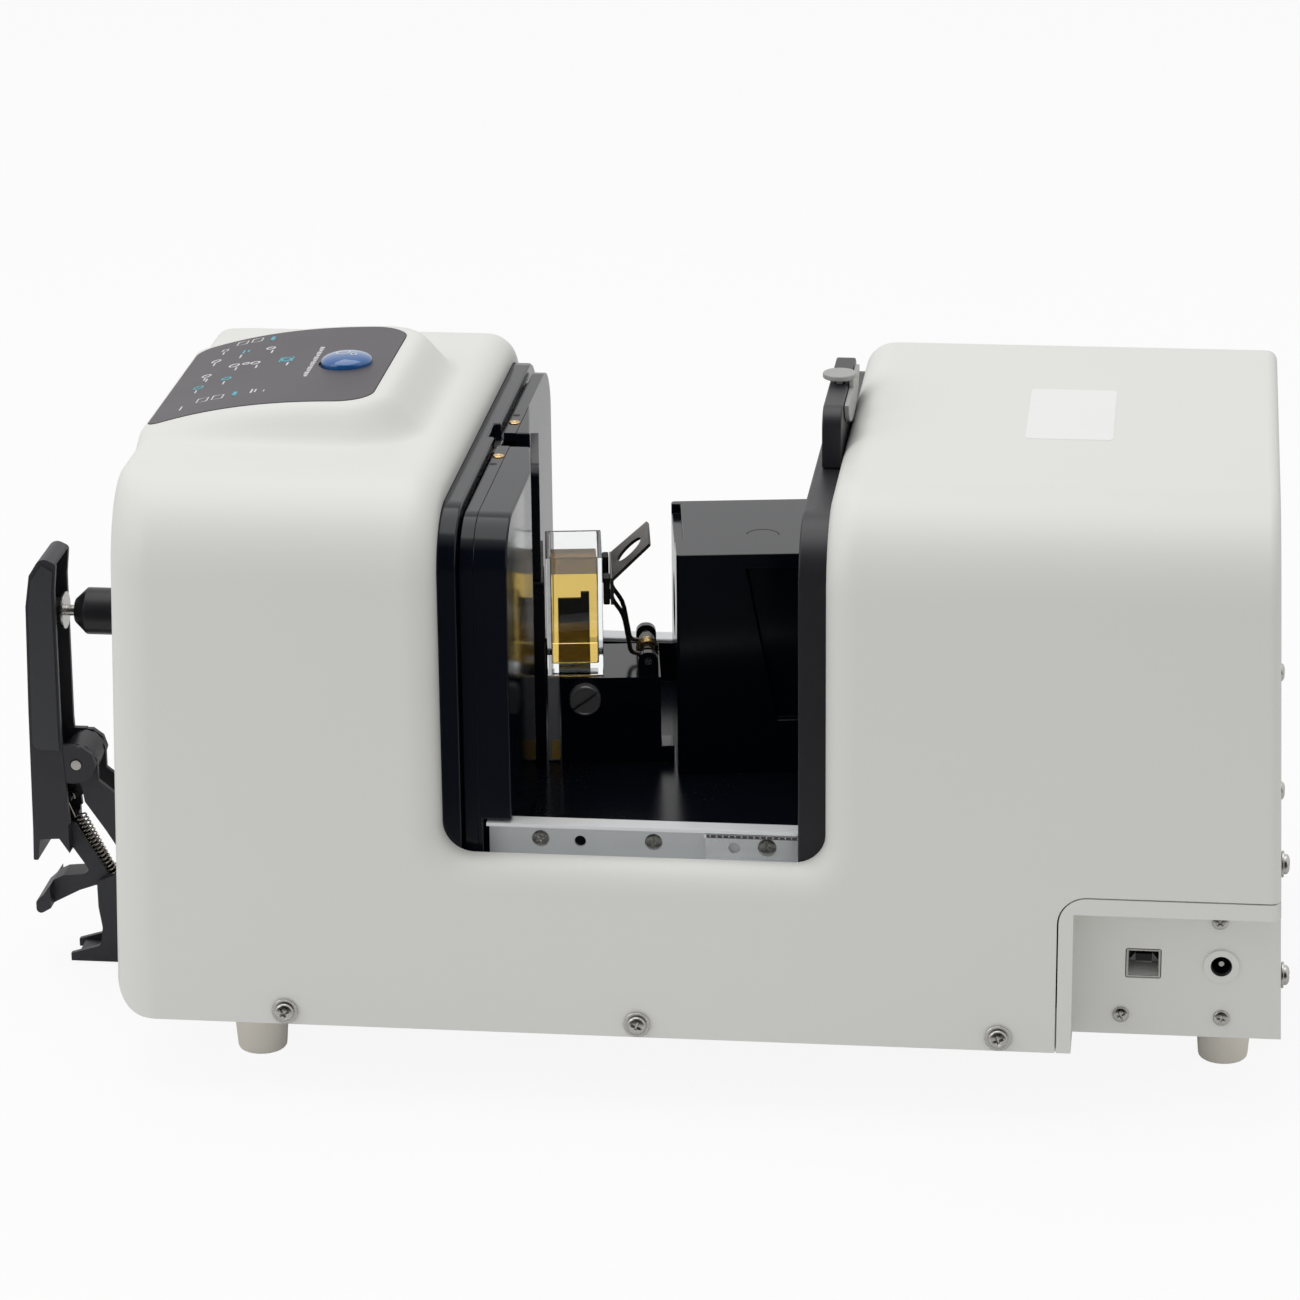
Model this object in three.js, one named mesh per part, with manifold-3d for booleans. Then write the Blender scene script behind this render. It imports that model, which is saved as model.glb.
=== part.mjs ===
import * as THREE from 'three';
import { mergeVertices } from 'three/addons/utils/BufferGeometryUtils.js';
import Module from 'manifold-3d';

const wasm = await Module();
wasm.setup();

// Benchtop colorimeter with a sliding chamber cover, in millimetres.
// X runs from the front face to the rear, Y from the near side to the far side, Z up from the table.

// Driving dimensions of the body
const bodyFront = -6.1;
const bodyRear = 437;
const bodyWidth = 248;
const bodyTop = 240;
const bodyBottom = 29;
const shoulderRadius = 35;
const frontCornerRadius = 17;
const frontTopRadius = 22;
const frontFootRadius = 14;
const rearEdgeRadius = 4;
const frontLean = 6.6;
const rearLean = 7;
const leanEnd = 60;
const wall = 3;

// Driving dimensions of the chamber
const chamberFront = 122.5;
const chamberRear = 266.5;
const chamberSill = 97.5;
const chamberCornerRadius = 12;
const rimWidth = 12;
const rimDepth = 10;
const flangeDepth = 11.5;

// Driving dimensions of the optics, which lie turned about the specimen port
const opticAngle = THREE.MathUtils.degToRad(8);
const opticHeight = 149;
const cellStart = 145.8;
const cellLength = 22.3;
const cellWidth = 35;
const cellHeight = 49;
const stageTop = 126;

// Driving dimensions of the sliding cover
const coverGap = 0.5;
const coverWall = 2.5;
const coverFront = 256;
const coverLength = 150;
const coverFoot = 93;

// Clearances
const seatGap = 0.3;
const runGap = 0.5;
const overrun = 5;
const farOverrun = 60;

// Facets on round forms
const roundSteps = 6;
const arcSteps = 5;
const edgeSteps = 2;
const pegSides = 12;
const rodSides = 16;
const footSides = 24;
const ringSides = 32;

const rightAngle = Math.PI / 2;
const fullTurn = 2 * Math.PI;
const nearlyAlong = 0.01;
const halfWidth = bodyWidth / 2;
const cornerY = halfWidth - shoulderRadius;
const cornerZ = bodyTop - shoulderRadius;

// Closed solids from three.js geometry, and the boolean cuts and joins between them
function facingOut(positions, triangles) {
  const a = new THREE.Vector3();
  const b = new THREE.Vector3();
  const c = new THREE.Vector3();
  let volume = 0;
  for (let i = 0; i < triangles.length; i += 3) {
    a.fromArray(positions, 3 * triangles[i]);
    b.fromArray(positions, 3 * triangles[i + 1]);
    c.fromArray(positions, 3 * triangles[i + 2]);
    volume += a.dot(b.cross(c));
  }
  if (volume > 0) return triangles;
  const turned = [];
  for (let i = 0; i < triangles.length; i += 3) turned.push(triangles[i], triangles[i + 2], triangles[i + 1]);
  return turned;
}

function solid(geometry) {
  const bare = geometry.clone();
  bare.deleteAttribute('normal');
  bare.deleteAttribute('uv');
  const merged = mergeVertices(bare);
  const positions = Array.from(merged.attributes.position.array);
  const index = Array.from(merged.index.array);
  const triangles = [];
  for (let i = 0; i < index.length; i += 3) {
    const [a, b, c] = index.slice(i, i + 3);
    if (a !== b && b !== c && c !== a) triangles.push(a, b, c);
  }
  return new wasm.Manifold(new wasm.Mesh({
    numProp: 3,
    vertProperties: new Float32Array(positions),
    triVerts: new Uint32Array(facingOut(positions, triangles)),
  }));
}

function geometryOf(manifold) {
  const mesh = manifold.getMesh();
  const geometry = new THREE.BufferGeometry();
  geometry.setAttribute('position', new THREE.BufferAttribute(new Float32Array(mesh.vertProperties), 3));
  geometry.setIndex(new THREE.BufferAttribute(new Uint32Array(mesh.triVerts), 1));
  geometry.computeVertexNormals();
  return geometry;
}

const join = (...pieces) => geometryOf(pieces.map(solid).reduce((sum, piece) => sum.add(piece)));
const cut = (base, ...tools) =>
  geometryOf(tools.map(solid).reduce((left, tool) => left.subtract(tool), solid(base)));
const common = (first, second) => geometryOf(solid(first).intersect(solid(second)));

// A box between two limits on each axis
function block([x0, x1], [y0, y1], [z0, z1]) {
  const geometry = new THREE.BoxGeometry(x1 - x0, y1 - y0, z1 - z0);
  return geometry.translate((x0 + x1) / 2, (y0 + y1) / 2, (z0 + z1) / 2);
}

// An outline through corners [a, b, radius]
function outline(corners) {
  const shape = new THREE.Shape();
  corners.forEach(([a, b, radius = 0], i) => {
    const [beforeA, beforeB] = corners[(i + corners.length - 1) % corners.length];
    const [afterA, afterB] = corners[(i + 1) % corners.length];
    const here = new THREE.Vector2(a, b);
    const back = new THREE.Vector2(beforeA, beforeB).sub(here).normalize();
    const on = new THREE.Vector2(afterA, afterB).sub(here).normalize();
    if (radius === 0) {
      if (i === 0) shape.moveTo(a, b);
      else shape.lineTo(a, b);
      return;
    }
    const half = Math.acos(back.dot(on)) / 2;
    const reachBack = here.distanceTo({ x: beforeA, y: beforeB });
    const reachOn = here.distanceTo({ x: afterA, y: afterB });
    const room = Math.min(reachBack, reachOn) / 2;
    const run = Math.min(radius / Math.tan(half), room);
    const round = run * Math.tan(half);
    const start = here.clone().addScaledVector(back, run);
    const end = here.clone().addScaledVector(on, run);
    const centre = here.clone().addScaledVector(back.clone().add(on).normalize(), round / Math.sin(half));
    const first = Math.atan2(start.y - centre.y, start.x - centre.x);
    const last = Math.atan2(end.y - centre.y, end.x - centre.x);
    if (i === 0) shape.moveTo(start.x, start.y);
    else shape.lineTo(start.x, start.y);
    shape.absarc(centre.x, centre.y, round, first, last, back.cross(on) > 0);
  });
  return shape;
}

function roundedBox(a0, a1, b0, b1, radius) {
  return outline([[a0, b0, radius], [a1, b0, radius], [a1, b1, radius], [a0, b1, radius]]);
}

function circle(radius, a = 0, b = 0) {
  return new THREE.Shape().absarc(a, b, radius, 0, fullTurn);
}

// A prism over a shape: along Z its plane is X and Y, along Y it is X and Z, along X it is Y and Z
function prism(shape, axis, from, to, curveSegments = arcSteps) {
  const geometry = new THREE.ExtrudeGeometry(shape, { depth: to - from, bevelEnabled: false, curveSegments });
  geometry.translate(0, 0, from);
  if (axis === 'x') geometry.rotateX(rightAngle).rotateZ(rightAngle);
  if (axis === 'y') geometry.rotateX(rightAngle).scale(1, -1, 1);
  return geometryOf(solid(geometry));
}

// A turned piece from [radius, height] points, with its axis on X, Y or Z
function turned(profile, axis = 'z', sides = ringSides) {
  const geometry = new THREE.LatheGeometry(profile.map(([r, h]) => new THREE.Vector2(r, h)), sides);
  if (axis === 'z') geometry.rotateX(rightAngle);
  if (axis === 'x') geometry.rotateZ(-rightAngle);
  return geometryOf(solid(geometry));
}

function rod(radius, axis, from, to, sides = rodSides) {
  return turned([[0, from], [radius, from], [radius, to], [0, to]], axis, sides);
}

// A closed skin over rings of points, with flat ends
function loft(rings) {
  const count = rings[0].length;
  const triangles = [];
  for (let ring = 0; ring < rings.length - 1; ring++) {
    for (let i = 0; i < count; i++) {
      const next = (i + 1) % count;
      const low = ring * count;
      const high = low + count;
      triangles.push(low + i, low + next, high + next, low + i, high + next, high + i);
    }
  }
  const end = (ring, first, reversed) => {
    const normal = new THREE.Vector3();
    ring.forEach((point, i) => normal.add(point.clone().cross(ring[(i + 1) % count])));
    normal.normalize();
    const side = Math.abs(normal.x) > Math.SQRT1_2 ? new THREE.Vector3(0, 1, 0) : new THREE.Vector3(1, 0, 0);
    const up = normal.clone().cross(side).normalize();
    const across = up.clone().cross(normal);
    const flat = ring.map((point) => new THREE.Vector2(point.dot(across), point.dot(up)));
    for (const [a, b, c] of THREE.ShapeUtils.triangulateShape(flat, [])) {
      triangles.push(first + a, first + (reversed ? c : b), first + (reversed ? b : c));
    }
  };
  end(rings[0], 0, true);
  end(rings[rings.length - 1], (rings.length - 1) * count, false);
  const geometry = new THREE.BufferGeometry();
  const places = rings.flat().flatMap((p) => p.toArray());
  geometry.setAttribute('position', new THREE.Float32BufferAttribute(places, 3));
  geometry.setIndex(triangles);
  return geometry;
}

const whole = new THREE.Group();
const body = new THREE.Group();
const optics = new THREE.Group();
optics.rotation.z = opticAngle;
whole.add(body);
body.add(optics);

function finish(color, roughness, metalness = 0) {
  return new THREE.MeshStandardMaterial({ color, roughness, metalness });
}

const whitePaint = () => finish(0xc9c9c4, 0.5);
const blackPlastic = () => finish(0x15161c, 0.35);
const satinBlack = () => finish(0x2b2b32, 0.5);
const zincSteel = () => finish(0xb8c0c4, 0.3, 1);
const brightSteel = () => finish(0xc8c8c8, 0.25, 1);
const rubber = () => finish(0x101012, 0.8);

function add(name, geometry, material, parent = body) {
  const mesh = new THREE.Mesh(geometryOf(solid(geometry)), material);
  mesh.name = name;
  parent.add(mesh);
  return mesh;
}

// How far a quarter round of this radius has drawn in at a depth behind its face
function drawIn(radius, depth) {
  return depth >= radius ? 0 : radius - Math.sqrt(radius * radius - (radius - depth) * (radius - depth));
}

// The raised panel ridge on top of the front tower
const ridge = {
  front: 0.2, brow: 92, foot: 108, run: 88, bend: 2.5, step: 1.3, rise: 12.7, edge: 1.2, brinkInset: 36.6,
  footInset: 20, steps: 8,
};
const ridgeHalf = cornerY - ridge.brinkInset;
function ridgeHeight(x) {
  const share = Math.min(Math.max((x - ridge.front) / ridge.run, 0), 1);
  const crest = bodyTop + ridge.step + ridge.rise * (1 - (1 - share) ** ridge.bend);
  const fall = Math.min(Math.max((x - ridge.brow) / (ridge.foot - ridge.brow), 0), 1);
  return crest + (bodyTop - crest) * fall;
}

// The body's section, set in by a distance: up the near side, over the shoulders and down the far side
function sectionPoints(inset, side = 0, top = 0, raised = []) {
  const half = halfWidth - inset - side;
  const crown = bodyTop - inset - top;
  const points = [];
  for (let i = 0; i <= roundSteps; i++) {
    const angle = i * rightAngle / roundSteps;
    points.push([
      -cornerY - (half - cornerY) * Math.cos(angle),
      cornerZ + (crown - cornerZ) * Math.sin(angle),
    ]);
  }
  const far = points.map(([y, z]) => [-y, z]).reverse();
  return [...points, ...raised, ...far];
}

// One ring of the body's skin, with the ridge on it, and drawn in where an edge is rounded
function bodyRing(inset, x, lean, { side = 0, top = 0, foot = 0, edge = 0 } = {}) {
  const half = halfWidth - inset - side;
  const low = bodyBottom + inset + foot;
  const crown = bodyTop - inset - top;
  const crest = Math.max(ridgeHeight(x + lean) - inset - edge, crown);
  const flank = cornerY - ridge.footInset - inset;
  const brink = ridgeHalf - inset / 2;
  const raised = [[-flank, crown], [-brink, crest], [brink, crest], [flank, crown]];
  return [[-half, low], ...sectionPoints(inset, side, top, raised), [half, low]].map(([y, z]) => {
    const shift = lean * (z - bodyBottom) / (bodyTop - bodyBottom);
    return new THREE.Vector3(x + shift, y, z);
  });
}

// The moulded outer form of the body, or the space inside its wall
function bodyForm(inset) {
  const rings = [];
  const topRadius = frontTopRadius - inset;
  const front = bodyFront + inset;
  const leanAt = (x) => frontLean * Math.max(1 - (x - front) / (leanEnd - front), 0);
  for (let i = 0; i <= roundSteps; i++) {
    const depth = topRadius * (1 - Math.cos(i * rightAngle / roundSteps));
    rings.push(bodyRing(inset, front + depth, leanAt(front + depth), {
      side: drawIn(frontCornerRadius - inset, depth), top: drawIn(topRadius, depth),
      foot: drawIn(frontFootRadius - inset, depth), edge: drawIn(ridge.edge, depth),
    }));
  }
  for (let i = 1; i <= ridge.steps; i++) {
    const x = front + topRadius + (ridge.brow - front - topRadius) * i / ridge.steps;
    rings.push(bodyRing(inset, x, leanAt(x)));
  }
  rings.push(bodyRing(inset, ridge.foot, 0));
  const edge = Math.max(rearEdgeRadius - inset, seatGap);
  for (let i = 0; i <= edgeSteps; i++) {
    const depth = edge * i / edgeSteps;
    const draw = edge - Math.sqrt(edge * edge - depth * depth);
    const x = bodyRear - inset - edge + depth;
    rings.push(bodyRing(inset, x, -rearLean, { side: draw, top: draw, edge: draw }));
  }
  return loft(rings);
}

// The fillet that turns the cover's skin in round the chamber: [how far along X, how deep] from the rim edge
function rimPoints(inset) {
  const points = [];
  for (let i = 0; i <= arcSteps; i++) {
    const angle = i * rightAngle / arcSteps;
    points.push([
      rimWidth - (rimWidth - inset) * Math.sin(angle),
      rimDepth - (rimDepth - inset) * Math.cos(angle),
    ]);
  }
  return [...points, [inset, flangeDepth]];
}

// The chamber's opening in side view, grown by a distance on its ends and sill
function chamberOutline(grow, top) {
  const radius = chamberCornerRadius + grow;
  return outline([
    [chamberFront - grow, top], [chamberFront - grow, chamberSill - grow, radius],
    [chamberRear + grow, chamberSill - grow, radius], [chamberRear + grow, top],
  ]);
}

// What the chamber takes out of the body form, down to the flange
function rimCutter(inset) {
  const profile = rimPoints(inset);
  const low = cornerZ - shoulderRadius;
  const section = sectionPoints(0);
  const path = [[-halfWidth, low, -1, 0], ...section.map(([y, z]) => {
    const normal = new THREE.Vector2(y - Math.sign(y) * cornerY, z - cornerZ).normalize();
    return [y, z, normal.x, normal.y];
  }), [halfWidth, low, 1, 0]];
  const front = profile.map(([run, depth]) => [chamberFront - run, depth]);
  const rear = profile.map(([run, depth]) => [chamberRear + run, depth]).reverse();
  const across = [[chamberFront - rimWidth, -overrun], ...front, ...rear, [chamberRear + rimWidth, -overrun]];
  const arch = loft(path.map(([y, z, ny, nz]) => across.map(([x, depth]) => (
    new THREE.Vector3(x, y - ny * depth, z - nz * depth)
  ))));
  const side = (sign) => {
    const steps = [[rimWidth, -overrun], ...profile];
    return loft(steps.map(([run, depth]) => {
      const points = chamberOutline(run, low + overrun).getPoints(arcSteps);
      return points.map((point) => new THREE.Vector3(point.x, sign * (halfWidth - depth), point.y));
    }));
  };
  return join(arch, side(-1), side(1));
}

// Seam between the main cover and the rear corner housing
const seam = { front: 353, top: 92, radius: 11, gap: 0.6 };
const recess = { front: 359, top: 85, depth: 20 };
const coverScrews = { x: [62, 196.4, 332], z: 34.5, hole: 2.3 };
const port = { radius: 32 };
const button = { x: 71, radius: 10, rise: 3.2, depth: 7, tilt: 0.031, gap: 0.4, collar: 1.2 };
const panel = { front: 2, rear: 88, brim: 1.4, frontRadius: 6, rearRadius: 14, thickness: 0.9, proud: 0.2 };

const bottomOpening = block(
  [bodyFront + frontFootRadius + wall, bodyRear + farOverrun],
  [-halfWidth + wall, halfWidth - wall],
  [bodyBottom - farOverrun, bodyBottom + wall + overrun],
);

function seamRegion(gap) {
  const low = bodyBottom - overrun;
  return prism(outline([
    [seam.front + gap, low], [bodyRear + farOverrun, low],
    [bodyRear + farOverrun, seam.top - gap], [seam.front + gap, seam.top - gap, seam.radius - gap],
  ]), 'y', -halfWidth - overrun, halfWidth + overrun);
}

function screwHoles(radius, reach) {
  return coverScrews.x.map((x) => rod(radius, 'y', -reach, reach, rodSides)
    .translate(x, 0, coverScrews.z));
}

// The panel's sheet: its plan, and the band under the ridge that it fills
function panelSheet(top, bottom, grow) {
  const half = ridgeHalf - panel.brim + grow;
  const plan = outline([
    [panel.front - grow, -half, panel.frontRadius], [panel.rear + grow, -half, panel.rearRadius],
    [panel.rear + grow, half, panel.rearRadius], [panel.front - grow, half, panel.frontRadius],
  ]);
  const xs = Array.from({ length: ridge.steps + 1 }, (_, i) => (
    ridge.front + (ridge.brow - ridge.front) * i / ridge.steps
  ));
  const upper = xs.map((x) => [x, ridgeHeight(x) + top]);
  const lower = xs.map((x) => [x, ridgeHeight(x) - bottom]).reverse();
  const band = prism(outline([...lower, ...upper]), 'y', -halfWidth, halfWidth);
  return common(prism(plan, 'z', 0, bodyTop + farOverrun), band);
}

const buttonSeat = new THREE.Matrix4()
  .makeTranslation(button.x, 0, ridgeHeight(button.x))
  .multiply(new THREE.Matrix4().makeRotationY(-button.tilt));
const buttonHole = rod(button.radius + button.gap, 'z', -3 * button.depth, 2 * button.depth, ringSides)
  .applyMatrix4(buttonSeat);

function mainCover() {
  const wide = halfWidth + overrun;
  const notch = prism(chamberOutline(0, bodyTop + farOverrun), 'y', -wide, wide);
  const outside = cut(bodyForm(0), rimCutter(0), notch);
  const inside = cut(bodyForm(wall), rimCutter(wall));
  const portHole = rod(port.radius + seatGap, 'x', bodyFront - overrun, bodyFront + 4 * wall, ringSides)
    .translate(0, 0, opticHeight);
  return cut(
    outside, inside, bottomOpening, seamRegion(0), portHole, buttonHole,
    panelSheet(overrun, panel.thickness - panel.proud + seatGap, seatGap),
    ...screwHoles(coverScrews.hole, halfWidth + overrun),
  );
}
add('main_cover', mainCover(), whitePaint());

// Rear corner housing, with the recess for the sockets in its near side
const socketHeight = 58;
const usb = {
  x: 385, width: 13.4, height: 12, shell: 0.8, depth: 16, tongue: 6, tongueThick: 3.2, tongueLength: 9,
};
const jack = { x: 414, radius: 6, bore: 3.4, depth: 13, rim: 1.2, pin: 1.1, pinLength: 9 };
const recessWall = -halfWidth + recess.depth;

function rearHousing() {
  const recessBox = block(
    [recess.front, bodyRear + farOverrun], [-halfWidth - overrun, recessWall],
    [bodyBottom - overrun, recess.top],
  );
  const liner = block(
    [recess.front - wall, bodyRear + farOverrun], [-halfWidth - overrun, recessWall + wall],
    [bodyBottom - farOverrun, recess.top + wall],
  );
  const usbHole = prism(
    roundedBox(usb.x - usb.width / 2, usb.x + usb.width / 2, socketHeight - usb.height / 2,
      socketHeight + usb.height / 2, usb.shell),
    'y', recessWall - overrun, recessWall + wall + overrun, edgeSteps,
  );
  const jackHole = rod(jack.radius + seatGap, 'y', recessWall - overrun, recessWall + wall + overrun)
    .translate(jack.x, 0, socketHeight);
  return cut(
    common(bodyForm(0), seamRegion(seam.gap)), cut(bodyForm(wall), liner), cut(bottomOpening, liner),
    recessBox, usbHole, jackHole,
  );
}
add('rear_corner_housing', rearHousing(), whitePaint());

// USB socket: a steel shell with its tongue, open to the near side
function usbSocket() {
  const half = usb.width / 2 - seatGap;
  const tall = usb.height / 2 - seatGap;
  const front = recessWall + seatGap;
  const back = front + usb.depth;
  const shell = block([-half, half], [front, back], [-tall, tall]);
  const cavity = block(
    [-half + usb.shell, half - usb.shell], [front - overrun, back - 2 * usb.shell],
    [-tall + usb.shell, tall - usb.shell],
  );
  const tongue = block(
    [-usb.tongue / 2, usb.tongue / 2], [back - usb.tongueLength - 2 * usb.shell, back - usb.shell],
    [-usb.tongueThick / 2, usb.tongueThick / 2],
  );
  return join(cut(shell, cavity), tongue).translate(usb.x, 0, socketHeight);
}
add('usb_socket', usbSocket(), brightSteel());

// Power jack: a moulded barrel with a countersunk mouth, and its pin
function powerJack() {
  const front = recessWall - seatGap;
  const back = front + jack.depth;
  return turned([
    [0, back], [jack.radius, back], [jack.radius, front], [jack.radius - jack.rim, front],
    [jack.bore, front + jack.rim], [jack.bore, back - jack.rim], [0, back - jack.rim],
  ], 'y').translate(jack.x, 0, socketHeight);
}
add('power_jack', powerJack(), rubber());

const jackFloor = recessWall - seatGap + jack.depth - jack.rim;
add('power_jack_pin', rod(jack.pin, 'y', jackFloor - seatGap - jack.pinLength, jackFloor - seatGap, pegSides)
  .translate(jack.x, 0, socketHeight), brightSteel());

// Base plate: a folded steel tray that carries everything
const base = { floor: 28, thick: 2, flange: 46, rear: 427 };
const trayHalf = halfWidth - wall - seatGap;
const trayTop = base.floor + base.thick;

function basePlate() {
  const front = bodyFront + frontFootRadius + wall + seatGap;
  const tray = prism(outline([
    [-trayHalf, base.floor], [trayHalf, base.floor], [trayHalf, base.flange],
    [trayHalf - base.thick, base.flange],
    [trayHalf - base.thick, trayTop], [base.thick - trayHalf, trayTop], [base.thick - trayHalf, base.flange],
    [-trayHalf, base.flange],
  ]), 'x', front, base.rear);
  const corner = block(
    [recess.front - wall - seatGap, bodyRear], [-halfWidth, recessWall + wall + seatGap],
    [base.floor - overrun, base.flange + overrun],
  );
  return cut(tray, corner, ...screwHoles(coverScrews.hole, halfWidth));
}
add('base_plate', basePlate(), zincSteel());

// Tapered feet under the tray
const foot = { top: 11.5, bottom: 9.5, edge: 0.8, frontX: 44, frontInset: 43, rearX: 416, rearInset: 68 };
function footForm() {
  return turned([
    [0, 0], [foot.bottom - foot.edge, 0], [foot.bottom, foot.edge], [foot.top, base.floor - seatGap],
    [0, base.floor - seatGap],
  ], 'z', footSides);
}
for (const [side, sign] of [['near', -1], ['far', 1]]) {
  const frontY = sign * (halfWidth - foot.frontInset);
  const rearY = sign * (halfWidth - foot.rearInset);
  add(`front_foot_${side}`, footForm().translate(foot.frontX, frontY, 0), whitePaint());
  add(`rear_foot_${side}`, footForm().translate(foot.rearX, rearY, 0), whitePaint());
}

// Cover screws with washers along the foot of both sides
const screw = {
  shank: 1.9, washer: 5, washerThick: 1, head: 3.8, crown: 3, headRise: 2.2, shoulder: 1.5, length: 6,
};
function coverScrew(sign) {
  const face = halfWidth + seatGap;
  const washerFace = face + screw.washerThick;
  return turned([
    [0, face - screw.length], [screw.shank, face - screw.length], [screw.shank, face], [screw.washer, face],
    [screw.washer, washerFace], [screw.head, washerFace], [screw.crown, washerFace + screw.shoulder],
    [0, washerFace + screw.headRise],
  ], 'y', pegSides).scale(1, sign, 1);
}
coverScrews.x.forEach((x, i) => {
  add(`cover_screw_near_${i + 1}`, coverScrew(-1).translate(x, 0, coverScrews.z), brightSteel());
  add(`cover_screw_far_${i + 1}`, coverScrew(1).translate(x, 0, coverScrews.z), brightSteel());
});

// Control panel sheet and the measure button
add('control_panel', cut(
  panelSheet(panel.proud, panel.thickness - panel.proud, 0), buttonHole,
), finish(0x6a666b, 0.5));

function measureButton() {
  const dome = [];
  for (let i = 0; i <= arcSteps; i++) {
    const angle = i * rightAngle / arcSteps;
    dome.push([button.radius * Math.cos(angle), button.collar + button.rise * Math.sin(angle)]);
  }
  return turned([[0, -button.depth], [button.radius, -button.depth], ...dome], 'z').applyMatrix4(buttonSeat);
}
add('measure_button', measureButton(), finish(0x1e64b4, 0.2));

// Carrier under the panel that holds the button's switch
const carrier = { half: 20, thick: 3, switchRadius: 4, crown: 1 };
function switchCarrier() {
  const low = -button.depth - 2 * button.collar - carrier.thick;
  const square = [-carrier.half, carrier.half];
  const plate = block(square, square, [low, low + carrier.thick]);
  const post = rod(carrier.switchRadius, 'z', low, -button.depth - button.collar - seatGap);
  const under = -wall - carrier.crown;
  const legs = [-1, 1].map((side) => block(
    [-carrier.half, carrier.half],
    [side * carrier.half - carrier.thick / 2, side * carrier.half + carrier.thick / 2],
    [low, under],
  ));
  return join(plate, post, ...legs).applyMatrix4(buttonSeat);
}
add('switch_carrier', switchCarrier(), satinBlack());

// Specimen port mask in the front face
const mask = { bore: 12.7, cone: 22, proud: 1.8, thick: 2.2, depth: 9 };
const portFace = bodyFront + frontLean * (opticHeight - bodyBottom) / (bodyTop - bodyBottom);
function targetMask() {
  const front = portFace - mask.proud;
  const flange = port.radius - seatGap;
  return turned([
    [mask.bore, front + mask.thick], [mask.bore, front], [flange, front], [flange, front + mask.depth],
    [mask.cone, front + mask.depth], [mask.cone, front + mask.thick + mask.proud],
    [mask.bore, front + mask.thick],
  ], 'x').translate(0, 0, opticHeight);
}
add('target_mask', targetMask(), blackPlastic());

// Chassis channel: a folded frame on the base that holds the optics floor and both slides
const chassis = { front: 131, rear: 392, inset: 23.5, thick: 2, floor: 88, top: 107 };
const chassisHalf = halfWidth - chassis.inset;
function chassisChannel() {
  const inner = chassisHalf - chassis.thick;
  const deck = chassis.floor + chassis.thick;
  const low = trayTop + seatGap;
  const channel = prism(outline([
    [-chassisHalf, low], [-inner, low], [-inner, chassis.floor], [inner, chassis.floor], [inner, low],
    [chassisHalf, low], [chassisHalf, chassis.top], [inner, chassis.top], [inner, deck], [-inner, deck],
    [-inner, chassis.top], [-chassisHalf, chassis.top],
  ]), 'x', chassis.front, chassis.rear);
  const socketGap = block([recess.front, bodyRear], [-halfWidth, wall - inner], [0, recess.top]);
  return cut(channel, socketGap);
}
add('chassis_channel', chassisChannel(), blackPlastic());
const deckTop = chassis.floor + chassis.thick;

// Sphere housing: the black block at the front of the chamber, with its frame and latch recess
const housing = {
  back: 121, frameFront: 129.5, blockFace: 148, blockInset: 15.5, bendY: -41, groove: 2.5, grooveWidth: 5.5,
  blockFoot: 92,
};
const latchRecess = { front: 127, half: 8.5, depth: 11 };

function sectionOutline(inset, low) {
  const points = sectionPoints(inset);
  const half = halfWidth - inset;
  return new THREE.Shape([[-half, low], ...points, [half, low]].map(([y, z]) => new THREE.Vector2(y, z)));
}

// The housing's face turned to the optics, at a distance along their axis
function opticPlaneX(distance, y) {
  return distance / Math.cos(opticAngle) - y * Math.tan(opticAngle);
}

const sphereFace = 140.5;
function sphereHousing() {
  const frameInset = flangeDepth + seatGap;
  const frame = prism(sectionOutline(frameInset, trayTop + seatGap), 'x', housing.back, housing.frameFront);
  const farY = halfWidth - housing.blockInset;
  const plan = outline([
    [housing.back, -farY], [housing.blockFace, -farY], [housing.blockFace, housing.bendY],
    [opticPlaneX(sphereFace, farY), farY], [housing.back, farY],
  ]);
  const blockBody = common(
    prism(plan, 'z', housing.blockFoot, bodyTop),
    prism(sectionOutline(housing.blockInset, housing.blockFoot), 'x', housing.back, chamberRear),
  );
  const grooveTool = cut(
    prism(sectionOutline(0, trayTop), 'x', housing.frameFront, housing.frameFront + housing.grooveWidth),
    prism(
      sectionOutline(housing.blockInset + housing.groove, housing.blockFoot - overrun), 'x',
      housing.back, chamberRear,
    ),
  );
  const latchTool = block(
    [latchRecess.front, chamberRear], [-latchRecess.half, latchRecess.half],
    [bodyTop - housing.blockInset - latchRecess.depth, bodyTop],
  );
  const railTools = [-1, 1].map((side) => block(
    [chassis.front + 2 * wall, chamberRear],
    [Math.min(side * halfWidth, side * (chassisHalf - 2 * chassis.thick)),
      Math.max(side * halfWidth, side * (chassisHalf - 2 * chassis.thick))],
    [0, slideTop + 3 * seatGap],
  ));
  const chassisTools = [-1, 1].map((side) => block(
    [chassis.front - seatGap, chamberRear],
    [Math.min(side * (chassisHalf + seatGap), side * (chassisHalf - chassis.thick - seatGap)),
      Math.max(side * (chassisHalf + seatGap), side * (chassisHalf - chassis.thick - seatGap))],
    [0, chassis.top + seatGap],
  ));
  return cut(join(frame, blockBody), grooveTool, latchTool, ...railTools, ...chassisTools);
}

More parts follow.
